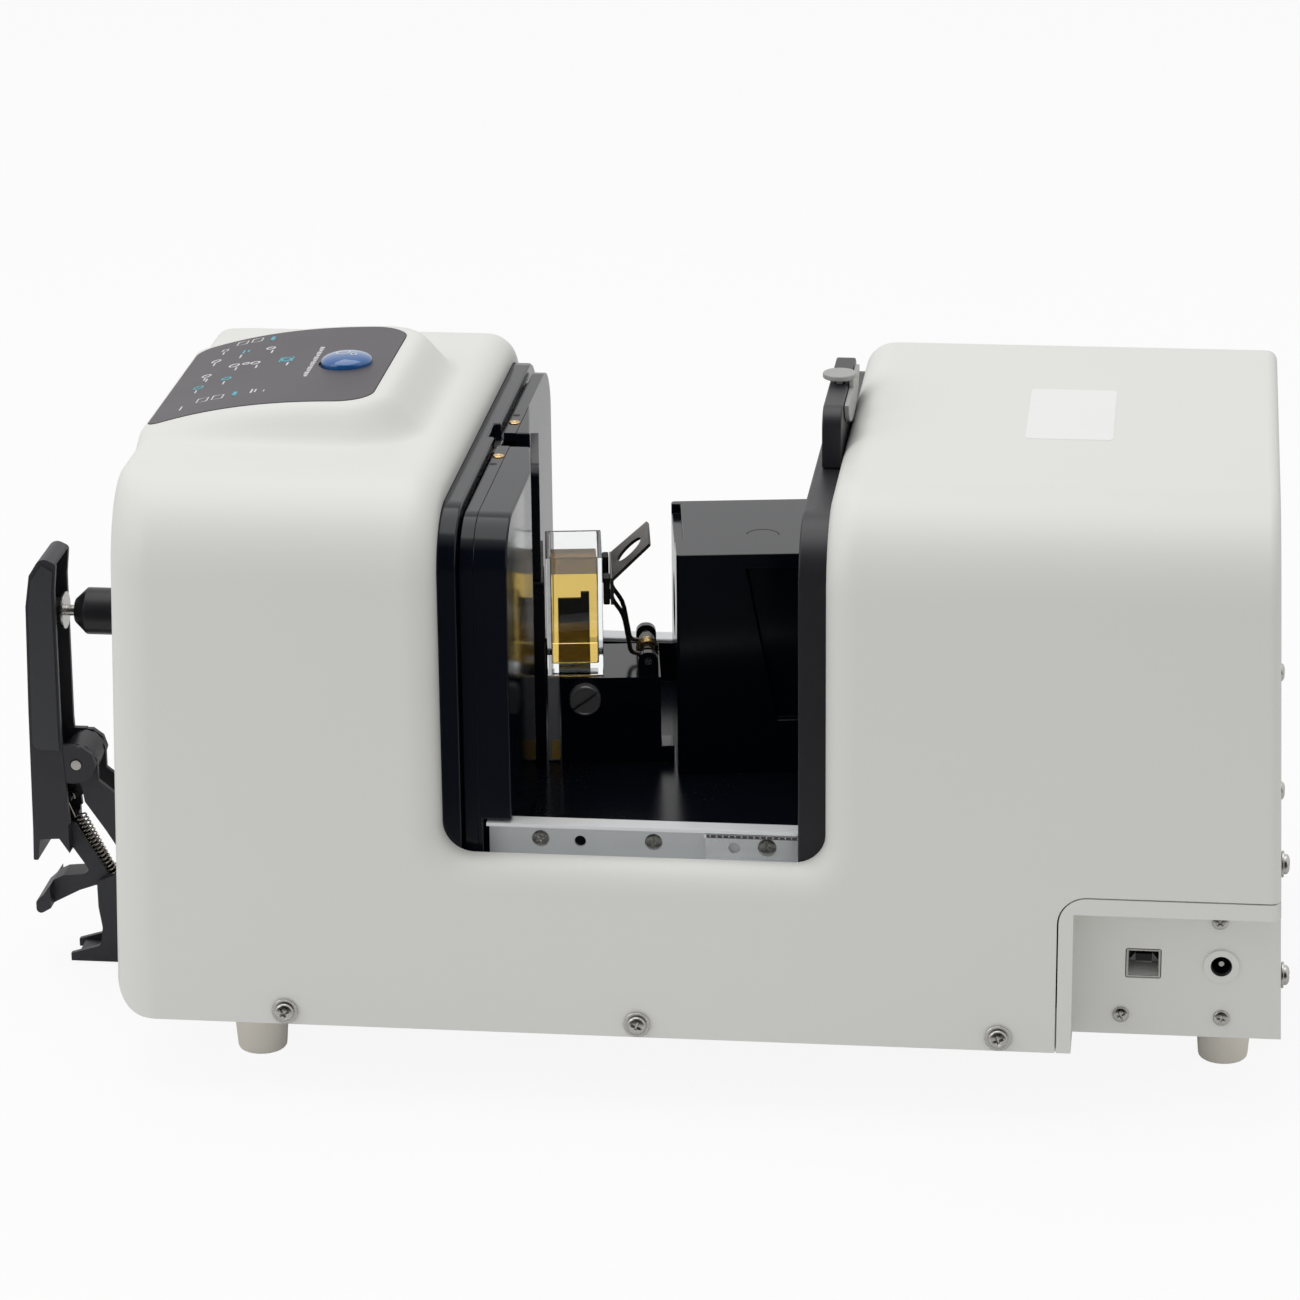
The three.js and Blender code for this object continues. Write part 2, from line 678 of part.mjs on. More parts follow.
// Ball slides on both sides: fixed outer channel, middle channel, and inner channel on the cover
const slide = {
  front: 138.5, rear: 391, low: 91.7, steel: 1.4, reach: 8.4, edge: 1, hole: 2.2, holeDrop: 0.9,
  holes: [173, 300, 360],
};
const slideTop = 108;
const slideMiddle = { front: 220.5, rear: 386, holes: [231.4, 340] };
const slideInner = { front: 264, rear: 404, height: 8.6, depth: 4.4 };

add('sphere_housing', sphereHousing(), blackPlastic());

function channelSection(web, tips, low, high, steel, corner = 0) {
  const inside = web + Math.sign(tips - web) * steel;
  return outline([
    [web, low, corner], [tips, low], [tips, low + steel], [inside, low + steel],
    [inside, high - steel], [tips, high - steel], [tips, high], [web, high, corner],
  ]);
}

const slideWeb = -chassisHalf - seatGap;
const slideTips = slideWeb - slide.reach;
const slideStep = slide.steel + runGap;
const slideMid = (slide.low + slideTop) / 2;
const coverInside = -halfWidth + flangeDepth + coverGap + coverWall;

function slideHole(x) {
  return rod(slide.hole, 'y', slideTips, slideWeb + overrun).translate(x, 0, slideMid - slide.holeDrop);
}

function outerChannel() {
  return cut(prism(
    channelSection(slideWeb, slideTips, slide.low, slideTop, slide.steel, slide.edge), 'x',
    slide.front, slide.rear,
    edgeSteps,
  ), ...slide.holes.map(slideHole));
}

function middleChannel() {
  return cut(prism(channelSection(
    slideWeb - slideStep, slideTips + seatGap, slide.low + slideStep, slideTop - slideStep,
    slide.steel, slide.edge,
  ), 'x', slideMiddle.front, slideMiddle.rear, edgeSteps), ...slideMiddle.holes.map(slideHole));
}

function innerChannel() {
  const face = coverInside + seatGap;
  return prism(channelSection(
    face, face + slideInner.depth, slideMid - slideInner.height / 2, slideMid + slideInner.height / 2,
    slide.steel,
  ), 'x', slideInner.front, slideInner.rear, edgeSteps);
}

for (const [side, sign] of [['near', 1], ['far', -1]]) {
  add(`slide_outer_${side}`, outerChannel().scale(1, sign, 1), zincSteel());
  add(`slide_middle_${side}`, middleChannel().scale(1, sign, 1), zincSteel());
  add(`slide_inner_${side}`, innerChannel().scale(1, sign, 1), zincSteel());
}

// Sliding chamber cover: an arch that runs inside the cover's flange and over the sphere housing
const coverInset = flangeDepth + coverGap;
const coverTop = bodyTop - coverInset;
const handle = {
  inset: 2.8, thick: 7.4, half: 39, rise: 23.2, radius: 8, gripHalf: 26, gripHeight: 11, gripDepth: 2,
};
const handleFront = coverFront + handle.inset;
const handleTop = coverTop + handle.rise;
const latch = {
  press: 1.2, radius: 6.5, thick: 2, lever: 1.6, leverHalf: 28, leverDrop: 12, leverLow: 1.4,
  neck: 4, stemRun: 2.6,
  stem: 2.5, stemHalf: 3, hookHalf: 5, hookHeight: 5,
};
const leverTop = handleTop - latch.leverLow;
const stemFront = handleFront + latch.stemRun;
const stemRear = stemFront + latch.stem;
const leverFront = handleFront + handle.thick + seatGap;


// The slot in which the latch's stem goes down through the handle plate and the cover
function stemSlot() {
  return block(
    [stemFront - runGap, stemRear + runGap], [-latch.stemHalf - runGap, latch.stemHalf + runGap],
    [coverTop - coverInset, bodyTop + farOverrun],
  );
}

function chamberCover() {
  const reach = halfWidth - coverInset;
  const outer = [[-reach, coverFoot], ...sectionPoints(coverInset), [reach, coverFoot]];
  const inset = coverInset + coverWall;
  const inner = [[-halfWidth + inset, coverFoot], ...sectionPoints(inset), [halfWidth - inset, coverFoot]];
  const arch = new THREE.Shape([...outer, ...inner.reverse()].map(([y, z]) => new THREE.Vector2(y, z)));
  return cut(prism(arch, 'x', coverFront, coverFront + coverLength), stemSlot());
}
add('chamber_cover', chamberCover(), satinBlack());

// Handle plate that stands on the cover's front edge
function coverHandle() {
  const low = coverTop + seatGap;
  const plate = prism(outline([
    [-handle.half, low], [handle.half, low], [handle.half, handleTop, handle.radius],
    [-handle.half, handleTop, handle.radius],
  ]), 'x', handleFront, handleFront + handle.thick);
  const middle = (low + handleTop) / 2;
  const grip = prism(roundedBox(
    -handle.gripHalf, handle.gripHalf, middle - handle.gripHeight / 2, middle + handle.gripHeight / 2,
    handle.gripHeight / 3,
  ), 'x', handleFront - overrun, handleFront + handle.gripDepth);
  return cut(plate, grip, stemSlot());
}
add('cover_handle', coverHandle(), satinBlack());

// Latch button: thumb disc, crescent lever behind the handle, and stem with the hook under the cover
function latchButton() {
  const low = handleTop + latch.press + seatGap;
  const middle = handleFront + handle.thick / 2;
  const disc = turned([
    [0, low], [latch.radius - seatGap, low], [latch.radius, low + seatGap],
    [latch.radius, low + latch.thick - seatGap],
    [latch.radius - seatGap, low + latch.thick], [0, low + latch.thick],
  ]).translate(middle, 0, 0);
  const bow = [];
  for (let i = 0; i <= 2 * roundSteps; i++) {
    const angle = i * rightAngle / roundSteps;
    bow.push(new THREE.Vector2(
      -latch.leverHalf * Math.cos(angle), leverTop - latch.leverDrop * Math.sin(angle),
    ));
  }
  const ends = [leverFront, leverFront + latch.lever];
  const lever = prism(new THREE.Shape(bow), 'x', ...ends);
  const neckFoot = leverTop - latch.leverDrop / 2;
  const neck = block(ends, [-latch.neck, latch.neck], [neckFoot, low + latch.thick / 2]);
  const hookTop = coverTop - coverWall - latch.press;
  const stem = block(
    [stemFront, stemRear], [-latch.stemHalf, latch.stemHalf],
    [hookTop - latch.hookHeight, low + latch.thick / 2],
  );
  const hook = block(
    [handleFront, stemRear], [-latch.hookHalf, latch.hookHalf], [hookTop - latch.hookHeight, hookTop],
  );
  return join(disc, lever, neck, stem, hook);
}
add('latch_button', latchButton(), finish(0xa9a9a6, 0.5));

// Keeper in the housing's recess that the hook catches
const keeper = { thick: 3.2, height: 8 };
const latchFloor = bodyTop - housing.blockInset - latchRecess.depth;
add('latch_keeper', join(
  block(
    [latchRecess.front + seatGap, latchRecess.front + seatGap + keeper.thick],
    [seatGap - latchRecess.half, latchRecess.half - seatGap],
    [latchFloor + seatGap, latchFloor + keeper.height],
  ),
  block(
    [latchRecess.front + seatGap, latchRecess.front + 2 * keeper.thick],
    [seatGap - latchRecess.half, latchRecess.half - seatGap],
    [latchFloor + seatGap, latchFloor + seatGap + keeper.thick / 3],
  ),
), brightSteel());

// Receiver housing across the chamber from the port, on the turned optical axis
const receiver = {
  front: 196.7, rear: 328, half: 34.5, top: 181, edge: 1.5, bore: 13, boreDepth: 8, lens: 3,
  lensRise: 2.7, notchHalf: 16, notchDepth: 3.5, notchDrop: 4,
  pocketFront: 224, pocketRear: 262, pocketTop: 175, pocketFoot: 112,
  pocketSlope: 12, pocketDepth: 4,
};
function receiverHousing() {
  const box = prism(
    roundedBox(receiver.front, receiver.rear, -receiver.half, receiver.half, receiver.edge), 'z',
    deckTop + seatGap, receiver.top, edgeSteps,
  );
  const boreEnd = receiver.front + receiver.boreDepth;
  const bore = rod(receiver.bore, 'x', receiver.front - overrun, boreEnd, ringSides)
    .translate(0, 0, opticHeight);
  const notch = block(
    [receiver.front - overrun, receiver.front + receiver.notchDepth],
    [-receiver.notchHalf, receiver.half - receiver.notchDrop],
    [receiver.top - receiver.notchDrop, receiver.top + overrun],
  );
  const pocket = prism(outline([
    [receiver.pocketFront + receiver.pocketSlope, receiver.pocketFoot],
    [receiver.pocketRear, receiver.pocketFoot],
    [receiver.pocketRear, receiver.pocketTop], [receiver.pocketFront, receiver.pocketTop],
  ]), 'y', -receiver.half - overrun, receiver.pocketDepth - receiver.half);
  return cut(box, bore, notch, pocket);
}
add('receiver_housing', receiverHousing(), blackPlastic(), optics);

const lensBack = receiver.front + receiver.boreDepth - seatGap;
add('receiver_lens', turned([
  [0, lensBack], [receiver.bore - seatGap, lensBack], [receiver.bore - seatGap, lensBack - receiver.lens / 2],
  [receiver.bore / 2, lensBack - receiver.lensRise], [0, lensBack - receiver.lens],
], 'x').translate(0, 0, opticHeight), finish(0xaec4cc, 0.1), optics);

// Port plate and window plate on the housing's turned face
const plate = {
  half: 26, thick: 4.5, foot: 92.5, top: 169, windowThick: 3.2, windowTop: 215, frame: 7, ring: 16, bore: 13,
};
const plateFace = sphereFace + seatGap;
function portPlate() {
  const slab = prism(roundedBox(-plate.half, plate.half, plate.foot, plate.top, plate.frame / 2), 'x',
    plateFace, plateFace + plate.thick - seatGap);
  const bore = rod(plate.bore, 'x', plateFace - overrun, plateFace + 2 * plate.thick, ringSides);
  const seat = turned([
    [plate.bore, plateFace + plate.thick], [plate.ring, plateFace + plate.thick],
    [plate.ring, plateFace + plate.thick / 2], [plate.bore, plateFace + plate.thick / 2],
    [plate.bore, plateFace + plate.thick],
  ], 'x');
  const lift = (geometry) => geometry.translate(0, 0, opticHeight);
  return join(cut(slab, lift(bore)), lift(seat));
}
add('port_plate', portPlate(), blackPlastic(), optics);

function windowPlate() {
  const low = plate.top + runGap;
  const shape = outline([
    [-plate.half, low], [plate.half, low], [plate.half, plate.windowTop, plate.frame],
    [-plate.half, plate.windowTop, plate.frame],
  ]);
  const opening = roundedBox(
    plate.frame - plate.half, plate.half - plate.frame, low + plate.frame, plate.windowTop - plate.frame,
    plate.frame / 2,
  );
  shape.holes.push(new THREE.Path(opening.getPoints(arcSteps)));
  return prism(shape, 'x', plateFace, plateFace + plate.windowThick);
}
add('port_window_plate', windowPlate(), blackPlastic(), optics);

// Sample stage: rail, bracket and the stage that carries the cell
const stage = {
  railRear: 150.6, rear: 190.6, half: 20, railHalf: 18, split: 111,
  tabLength: 5.2, tabHeight: 6.5, tabDepth: 12,
};
const stageFront = stage.railRear + seatGap;
add('stage_rail', block(
  [cellStart, stage.railRear], [-stage.railHalf, stage.railHalf], [deckTop + seatGap, stageTop - seatGap],
), finish(0x8a8a92, 0.4, 0.6), optics);

add('holder_bracket', join(
  block([stageFront, stage.rear], [-stage.half, stage.half], [deckTop + seatGap, stage.split]),
  block(
    [stage.rear - wall, stage.rear + stage.tabLength], [-stage.half, stage.tabDepth - stage.half],
    [deckTop + seatGap, deckTop + stage.tabHeight],
  ),
), blackPlastic(), optics);

const clip = {
  pivot: 185.7, rise: 5.3, pin: 1.5, hub: 3.1, hubHalf: 9.5, earIn: 14.5, earOut: 18, ear: 4, earRound: 3.6,
  wire: 0.9, wireAt: 8, wireSides: 8, wireSeat: 3.6, barRise: 29, barTall: 11, barThick: 1.2, padThick: 2.6,
  padIn: 9.5, padOut: 16.5, tabRun: 15.2, tabRise: 14, tabHalf: 14.5, hole: 6.5,
  coil: 4, coilWire: 0.5, coilPitch: 1.5,
};
const clipHeight = stageTop + clip.rise;
const barFoot = stageTop + clip.barRise;
const barTop = barFoot + clip.barTall;
function cellStage() {
  const low = stage.split + seatGap;
  const top = stageTop - seatGap;
  const slab = block([stageFront, stage.rear], [-stage.half, stage.half], [low, top]);
  const ears = [-1, 1].map((side) => {
    const ends = [side * clip.earIn, side * clip.earOut].sort((a, b) => a - b);
    return prism(outline([
      [clip.pivot - clip.ear, top - overrun], [clip.pivot + clip.ear, top - overrun],
      [clip.pivot + clip.ear, clipHeight + clip.ear, clip.earRound],
      [clip.pivot - clip.ear, clipHeight + clip.ear, clip.earRound],
    ]), 'y', ...ends);
  });
  const pinHole = rod(clip.pin + seatGap, 'y', -stage.half, stage.half).translate(clip.pivot, 0, clipHeight);
  return cut(join(slab, ...ears), pinHole);
}
add('cell_stage', cellStage(), blackPlastic(), optics);

const clipPinForm = () => rod(clip.pin, 'y', -clip.earOut, clip.earOut).translate(clip.pivot, 0, clipHeight);
add('clip_pin', clipPinForm(), brightSteel(), optics);

// Coin-slot knob that clamps the stage
const knob = { x: 160.5, z: 117.8, radius: 6.2, depth: 5, slot: 1.2, slotDepth: 1.5, edge: 0.6 };
function holderKnob() {
  const face = -stage.half - seatGap - knob.depth;
  const head = turned([
    [0, -stage.half - seatGap], [knob.radius, -stage.half - seatGap], [knob.radius, face + knob.edge],
    [knob.radius - knob.edge, face], [0, face],
  ], 'y', footSides);
  const slot = block(
    [-knob.radius - overrun, knob.radius + overrun], [face - overrun, face + knob.slotDepth],
    [-knob.slot / 2, knob.slot / 2],
  ).rotateY(rightAngle / 3);
  return cut(head, slot).translate(knob.x, 0, knob.z);
}
add('holder_knob', holderKnob(), brightSteel(), optics);

// Glass cell on the stage, with the liquid in it
const glass = { wall: 1.8, floor: 4.6, fill: 42 };
const cellEnds = [cellStart, cellStart + cellLength];
const cellSides = [-cellWidth / 2, cellWidth / 2];
const grown = ([low, high], by) => [low - by, high + by];
function glassCell() {
  const outer = block(cellEnds, cellSides, [stageTop, stageTop + cellHeight]);
  const inner = block(
    grown(cellEnds, -glass.wall), grown(cellSides, -glass.wall),
    [stageTop + glass.floor, stageTop + cellHeight + overrun],
  );
  return cut(outer, inner);
}
add('glass_cell', glassCell(), finish(0xdde6ea, 0.05), optics);
add('cell_liquid', block(
  grown(cellEnds, -glass.wall - seatGap), grown(cellSides, -glass.wall - seatGap),
  [stageTop + glass.floor + seatGap, stageTop + glass.fill],
), finish(0xe0b060, 0.1), optics);

// A round tube through points, as one skin
function tube(points, radius, sides) {
  const rings = [];
  let across = new THREE.Vector3(0, 1, 0);
  points.forEach((point, i) => {
    const before = points[Math.max(i - 1, 0)];
    const after = points[Math.min(i + 1, points.length - 1)];
    const along = after.clone().sub(before).normalize();
    across.addScaledVector(along, -across.dot(along));
    if (across.lengthSq() < nearlyAlong) across = new THREE.Vector3(1, 0, 0).addScaledVector(along, -along.x);
    across.normalize();
    const up = along.clone().cross(across);
    rings.push(Array.from({ length: sides }, (_, k) => {
      const angle = k * fullTurn / sides;
      return point.clone()
        .addScaledVector(across, radius * Math.cos(angle))
        .addScaledVector(up, radius * Math.sin(angle));
    }));
  });
  return loft(rings);
}

// Spring clip: a cross bar with a thumb tab, carried by two wires from a hub on the pin
const padFront = cellStart + cellLength + seatGap;
const barFront = padFront + clip.padThick + seatGap;
// Places of a wire's bends: shares of the way to the pin and of the rise from it to the bar
const wireShares = [
  [0.042, 1.000], [0.333, 0.700], [0.483, 0.250], [0.569, 0.038], [0.828, 0.000],
];

function cellClip() {
  const bar = block([barFront, barFront + clip.barThick], [-clip.padOut, clip.padOut], [barFoot, barTop]);
  const slope = Math.atan2(clip.tabRise, clip.tabRun);
  const length = Math.hypot(clip.tabRise, clip.tabRun);
  const shape = outline([
    [-clip.padOut, 0], [clip.padOut, 0], [clip.tabHalf, length, clip.barThick],
    [-clip.tabHalf, length, clip.barThick],
  ]);
  shape.holes.push(new THREE.Path(circle(clip.hole, 0, length / 2).getPoints(2 * arcSteps).slice(0, -1)));
  const tab = prism(shape, 'x', 0, clip.barThick)
    .rotateY(rightAngle - slope).translate(barFront, 0, barTop - clip.barThick / 2);
  const hub = rod(clip.hub, 'y', -clip.hubHalf, clip.hubHalf).translate(clip.pivot, 0, clipHeight);
  const bore = rod(clip.pin + seatGap, 'y', -stage.half, stage.half).translate(clip.pivot, 0, clipHeight);
  const rise = barFoot - clipHeight;
  const run = clip.pivot - barFront;
  const wires = [-1, 1].map((side) => {
    const bend = new THREE.CatmullRomCurve3([
      [barFront + clip.barThick / 2, barFoot + clip.wireSeat],
      ...wireShares.map(([across, up]) => [barFront + across * run, clipHeight + up * rise]),
    ].map(([x, z]) => new THREE.Vector3(x, side * clip.wireAt, z)));
    return tube(bend.getPoints(4 * arcSteps), clip.wire, clip.wireSides);
  });
  return cut(join(bar, tab, hub, ...wires), bore);
}
add('cell_clip', cellClip(), finish(0x55504c, 0.35, 0.9), optics);

for (const [side, sign] of [['near', -1], ['far', 1]]) {
  const ends = [sign * clip.padIn, sign * clip.padOut].sort((a, b) => a - b);
  add(`clip_pad_${side}`, prism(
    roundedBox(padFront, padFront + clip.padThick, ...ends, clip.padThick / 3), 'z', barFoot, barTop,
    edgeSteps,
  ), rubber(), optics);
}

// Wound springs: how near a wire comes to itself, and the path of a coil along +Z
function leastGap(points, radius, skip) {
  let least = Infinity;
  for (let i = 0; i < points.length; i++) {
    for (let j = i + skip; j < points.length; j++) least = Math.min(least, points[i].distanceTo(points[j]));
  }
  return least - 2 * radius;
}

const curlSteps = 8;
const springSides = 5;
function coilPath(radius, pitch, curls) {
  return Array.from({ length: curls * curlSteps + 1 }, (_, i) => {
    const angle = i * fullTurn / curlSteps;
    return new THREE.Vector3(radius * Math.cos(angle), radius * Math.sin(angle), pitch * i / curlSteps);
  });
}

const clipCurls = 4;
function clipSpring() {
  const path = coilPath(clip.coil, clip.coilPitch, clipCurls);
  console.log('clip spring least gap', leastGap(path, clip.coilWire, curlSteps / 2).toFixed(2), 'mm');
  return tube(path, clip.coilWire, springSides).rotateX(rightAngle).translate(clip.pivot, 0, clipHeight);
}
add('clip_spring', clipSpring(), brightSteel(), optics);

// Specimen holder on the front face: bracket, bell-crank arm, pin, tension spring and pad
const holder = {
  front: -61.5, top: 175, round: 5, gap: 0.4, pivotX: -42, pivotZ: 87.5, knuckle: 8, pin: 2.2, peg: 1.1,
  cheekIn: 6.4, cheekOut: 8.6, armHalf: 12, skin: 2.2, legHalf: 5.9, legTop: 62, legRear: -46.5,
  toeTop: 46, toeRear: -55.5,
  earFront: -50, hookX: -48, hookZ: 69, anchorX: -27.4, anchorZ: 27,
  footTip: -49, footTop: 4.2, footLow: 1, footEdge: 3,
  seatTop: 52, spineTop: 27, boss: 5, bossFront: -58,
};

const holderSteps = 3;

// A place on the holder in side view, from shares of its reach forward, its height and its corner radius
const holderPlace = ([forward, up, round = 0]) =>
  [holder.front * forward, holder.top * up, holder.round * round];
const holderOutline = (shares) => outline(shares.map(holderPlace));
const frontFaceX = (z) => bodyFront + frontLean * (z - bodyBottom) / (bodyTop - bodyBottom);
const pegBetween = (radius, half, x, z) => rod(radius, 'y', -half, half, pegSides).translate(x, 0, z);

const cheekShares = [
  [0.4553, 0.4286, 1], [0.5528, 0.4571], [0.5528, 0.5143, 1], [0.6829, 0.5457, 1],
  [0.748, 0.5029, 0.6], [0.6667, 0.44], [0.6504, 0.4034], [0.5171, 0.3331], [0.3577, 0.24, 0.6],
  [0.5984, 0.2057, 0.6], [0.5967, 0.1429], [0.5756, 0.0914, 0.8], [0.5935, 0.0457, 0.6],
];
const linkShares = [
  [0.6504, 0.5257], [0.7805, 0.4343, 0.4], [0.8293, 0.3943, 0.6], [0.7724, 0.3743, 0.4],
  [0.6179, 0.4114],
];

function armBracket() {
  const back = (z) => frontFaceX(z) - holder.gap;
  const side = (shape, sign, inset = 0) => {
    const ends = [sign * (holder.cheekIn + inset), sign * (holder.cheekOut - inset)].sort((a, b) => a - b);
    return prism(shape, 'y', ...ends, holderSteps);
  };
  const cheek = outline([
    [holder.footTip, holder.footLow], [back(bodyBottom), holder.footLow], [back(bodyBottom), bodyBottom],
    [back(holder.seatTop), holder.seatTop], ...cheekShares.map(holderPlace),
    [holder.footTip, holder.footTop],
  ]);
  const barrelEnd = holder.cheekOut - seatGap;
  const barrel = pegBetween(holder.knuckle - seatGap, barrelEnd, holder.pivotX, holder.pivotZ);
  const floor = block(
    [holder.footTip + holder.footEdge, back(bodyBottom)], [-holder.cheekOut, holder.cheekOut],
    [holder.footLow, holder.footTop],
  );
  const spine = block(
    [back(bodyBottom) - wall, back(bodyBottom)], [-holder.cheekOut, holder.cheekOut],
    [holder.footLow, holder.spineTop],
  );
  const peg = rod(holder.peg, 'y', -holder.cheekIn / 2, holder.cheekOut, pegSides)
    .translate(holder.hookX, 0, holder.hookZ);
  const bore = pegBetween(holder.pin + seatGap, holder.armHalf, holder.pivotX, holder.pivotZ);
  const link = side(holderOutline(linkShares), 1, 2 * seatGap);
  return cut(join(side(cheek, -1), side(cheek, 1), link, barrel, floor, spine, peg), bore);
}
add('arm_bracket', armBracket(), satinBlack());

const pad = {
  stemBack: -46.6, washer: 7.5, washerThick: 1.2, stem: 2.2, coneBack: -41.5, cylinder: 9.4, coneFront: -36.6,
  disc: 20, discThick: 5,
};
const armShares = [
  [1, 0.1229, 0.4], [0.878, 0.1486, 0.6], [0.7252, 0.1771, 0.6], [0.6114, 0.1914],
  [0.5171, 0.14, 0.3], [0.3984, 0.1371, 0.3], [0.4146, 0.1771], [0.5203, 0.2114], [0.7398, 0.3429],
  [0.748, 0.3771], [0.7724, 0.5714], [0.7642, 0.92], [0.7447, 0.9829, 0.4], [0.8455, 1, 0.8],
  [0.9268, 0.9543], [0.9593, 0.88], [0.9789, 0.6286], [0.9919, 0.3429], [1, 0.2629, 0.1],
  [0.9675, 0.2629, 0.1], [0.9512, 0.3143, 0.2], [0.8211, 0.3171], [0.6504, 0.2257, 0.4],
  [0.7008, 0.2166], [0.8341, 0.212, 0.4], [0.9041, 0.1994, 0.4], [0.9463, 0.1771], [1, 0.16, 0.4],
];
const armHollowShares = [
  [0.9561, 0.3429], [0.4878, 0.3429], [0.4878, 0.98], [0.7805, 0.98], [0.8537, 0.9657],
  [0.9024, 0.9143], [0.9317, 0.8571], [0.9512, 0.6286],
];
const armTroughShares = [
  [0.935, 0.3771], [0.935, 0.3314], [0.8081, 0.3291], [0.6325, 0.2331], [0.5902, 0.2],
  [0.4976, 0.1503], [0.4797, 0.1143], [0.1626, 0.1371], [0.6504, 0.3771],
];

function specimenArm() {
  const full = prism(holderOutline(armShares), 'y', -holder.armHalf, holder.armHalf, holderSteps);
  const hollow = prism(
    holderOutline(armHollowShares), 'y', holder.skin - holder.armHalf, holder.armHalf - holder.skin,
  );
  const trough = prism(
    holderOutline(armTroughShares), 'y', holder.skin - holder.legHalf, holder.legHalf - holder.skin,
  );
  const beside = (front, top) => [-1, 1].map((side) => block(
    [front, 0], [side * holder.legHalf, side * (holder.armHalf + overrun)].sort((a, b) => a - b), [0, top],
  ));
  const ears = [-1, 1].map((side) => {
    const ends = [side * (holder.cheekOut + runGap), side * (holder.armHalf - seatGap)].sort((a, b) => a - b);
    const disc = prism(circle(holder.knuckle, holder.pivotX, holder.pivotZ), 'y', ...ends);
    return join(disc, block(
      [holder.earFront, holder.pivotX], ends,
      [holder.pivotZ - holder.knuckle, holder.pivotZ + holder.knuckle],
    ));
  });
  const boss = rod(holder.boss, 'x', holder.bossFront, pad.stemBack - seatGap).translate(0, 0, opticHeight);
  const peg = pegBetween(holder.peg, holder.legHalf - seatGap, holder.anchorX, holder.anchorZ);
  const bore = pegBetween(holder.pin + seatGap, holder.armHalf + overrun, holder.pivotX, holder.pivotZ);
  const blank = cut(
    full, hollow, trough, ...beside(holder.legRear, holder.legTop), ...beside(holder.toeRear, holder.toeTop),
  );
  return cut(join(blank, ...ears, boss, peg), bore);
}
add('specimen_arm', specimenArm(), satinBlack());
add('arm_pin', pegBetween(holder.pin, holder.armHalf, holder.pivotX, holder.pivotZ), brightSteel());

const coil = { radius: 2.4, wire: 0.35, pitch: 1.75, curls: 17, hookTurns: 0.625, hookFrom: -0.375 };
function armSpring() {
  const start = new THREE.Vector3(holder.hookX, 0, holder.hookZ);
  const end = new THREE.Vector3(holder.anchorX, 0, holder.anchorZ);
  const length = start.distanceTo(end);
  const lead = (length - coil.pitch * coil.curls) / 2;
  const turnRadius = holder.peg + coil.wire + seatGap;
  const hook = (sign, at) => Array.from({ length: curlSteps + 1 }, (_, i) => {
    const angle = fullTurn * (coil.hookTurns * i / curlSteps + coil.hookFrom);
    return new THREE.Vector3(turnRadius * Math.sin(angle), 0, at - sign * turnRadius * Math.cos(angle));
  });
  const shift = new THREE.Vector3(0, 0, lead);
  const coils = coilPath(coil.radius, coil.pitch, coil.curls).map((p) => p.add(shift));
  const path = [...hook(1, 0), ...coils, ...hook(-1, length).reverse()];
  console.log('arm spring least gap', leastGap(path, coil.wire, curlSteps / 2 + 1).toFixed(2), 'mm');
  const turn = new THREE.Quaternion()
    .setFromUnitVectors(new THREE.Vector3(0, 0, 1), end.clone().sub(start).normalize());
  return tube(path, coil.wire, springSides).applyQuaternion(turn).translate(start.x, start.y, start.z);
}
add('arm_spring', armSpring(), brightSteel());

add('pad_stem', turned([
  [0, pad.stemBack], [pad.washer, pad.stemBack], [pad.washer, pad.stemBack + pad.washerThick],
  [pad.stem, pad.stemBack + pad.washerThick], [pad.stem, pad.coneBack - seatGap], [0, pad.coneBack - seatGap],
], 'x', footSides).translate(0, 0, opticHeight), brightSteel());

const padFace = portFace - mask.proud - seatGap;
add('specimen_pad', turned([
  [0, pad.coneBack], [pad.cylinder / 2, pad.coneBack], [pad.cylinder, pad.coneFront],
  [pad.cylinder, padFace - pad.discThick], [pad.disc, padFace - pad.discThick], [pad.disc, padFace],
  [0, padFace],
], 'x', footSides).translate(0, 0, opticHeight), rubber());

// Inside: integrating sphere, lamp unit, spectrometer and main board
const sphere = { x: 62, headroom: 41, foot: 30, neck: 18, wall: 4, meridians: 16, parallels: 10 };
const sphereRadius = bodyTop - opticHeight - sphere.headroom;
function integratingSphere() {
  const ball = (radius) => new THREE.SphereGeometry(radius, sphere.meridians, sphere.parallels)
    .rotateX(rightAngle).translate(sphere.x, 0, opticHeight);
  const stand = block(
    [sphere.x - sphere.foot, sphere.x + sphere.foot], [-sphere.foot, sphere.foot],
    [trayTop + seatGap, opticHeight - sphere.foot],
  );
  const tubeFrom = portFace - mask.proud + mask.depth + seatGap;
  const neck = rod(sphere.neck, 'x', tubeFrom, housing.back - seatGap).translate(0, 0, opticHeight);
  const bore = rod(sphere.neck - sphere.wall, 'x', tubeFrom - overrun, housing.back)
    .translate(0, 0, opticHeight);
  return cut(join(ball(sphereRadius), stand, neck), ball(sphereRadius - sphere.wall), bore);
}
add('integrating_sphere', integratingSphere(), finish(0xd8d8d8, 0.6));

const lamp = { length: 46, width: 40, height: 26 };
const lampFoot = opticHeight + sphereRadius + seatGap;
add('lamp_unit', block(
  [sphere.x - lamp.length / 2, sphere.x + lamp.length / 2], [-lamp.width / 2, lamp.width / 2],
  [lampFoot, lampFoot + lamp.height],
), zincSteel());

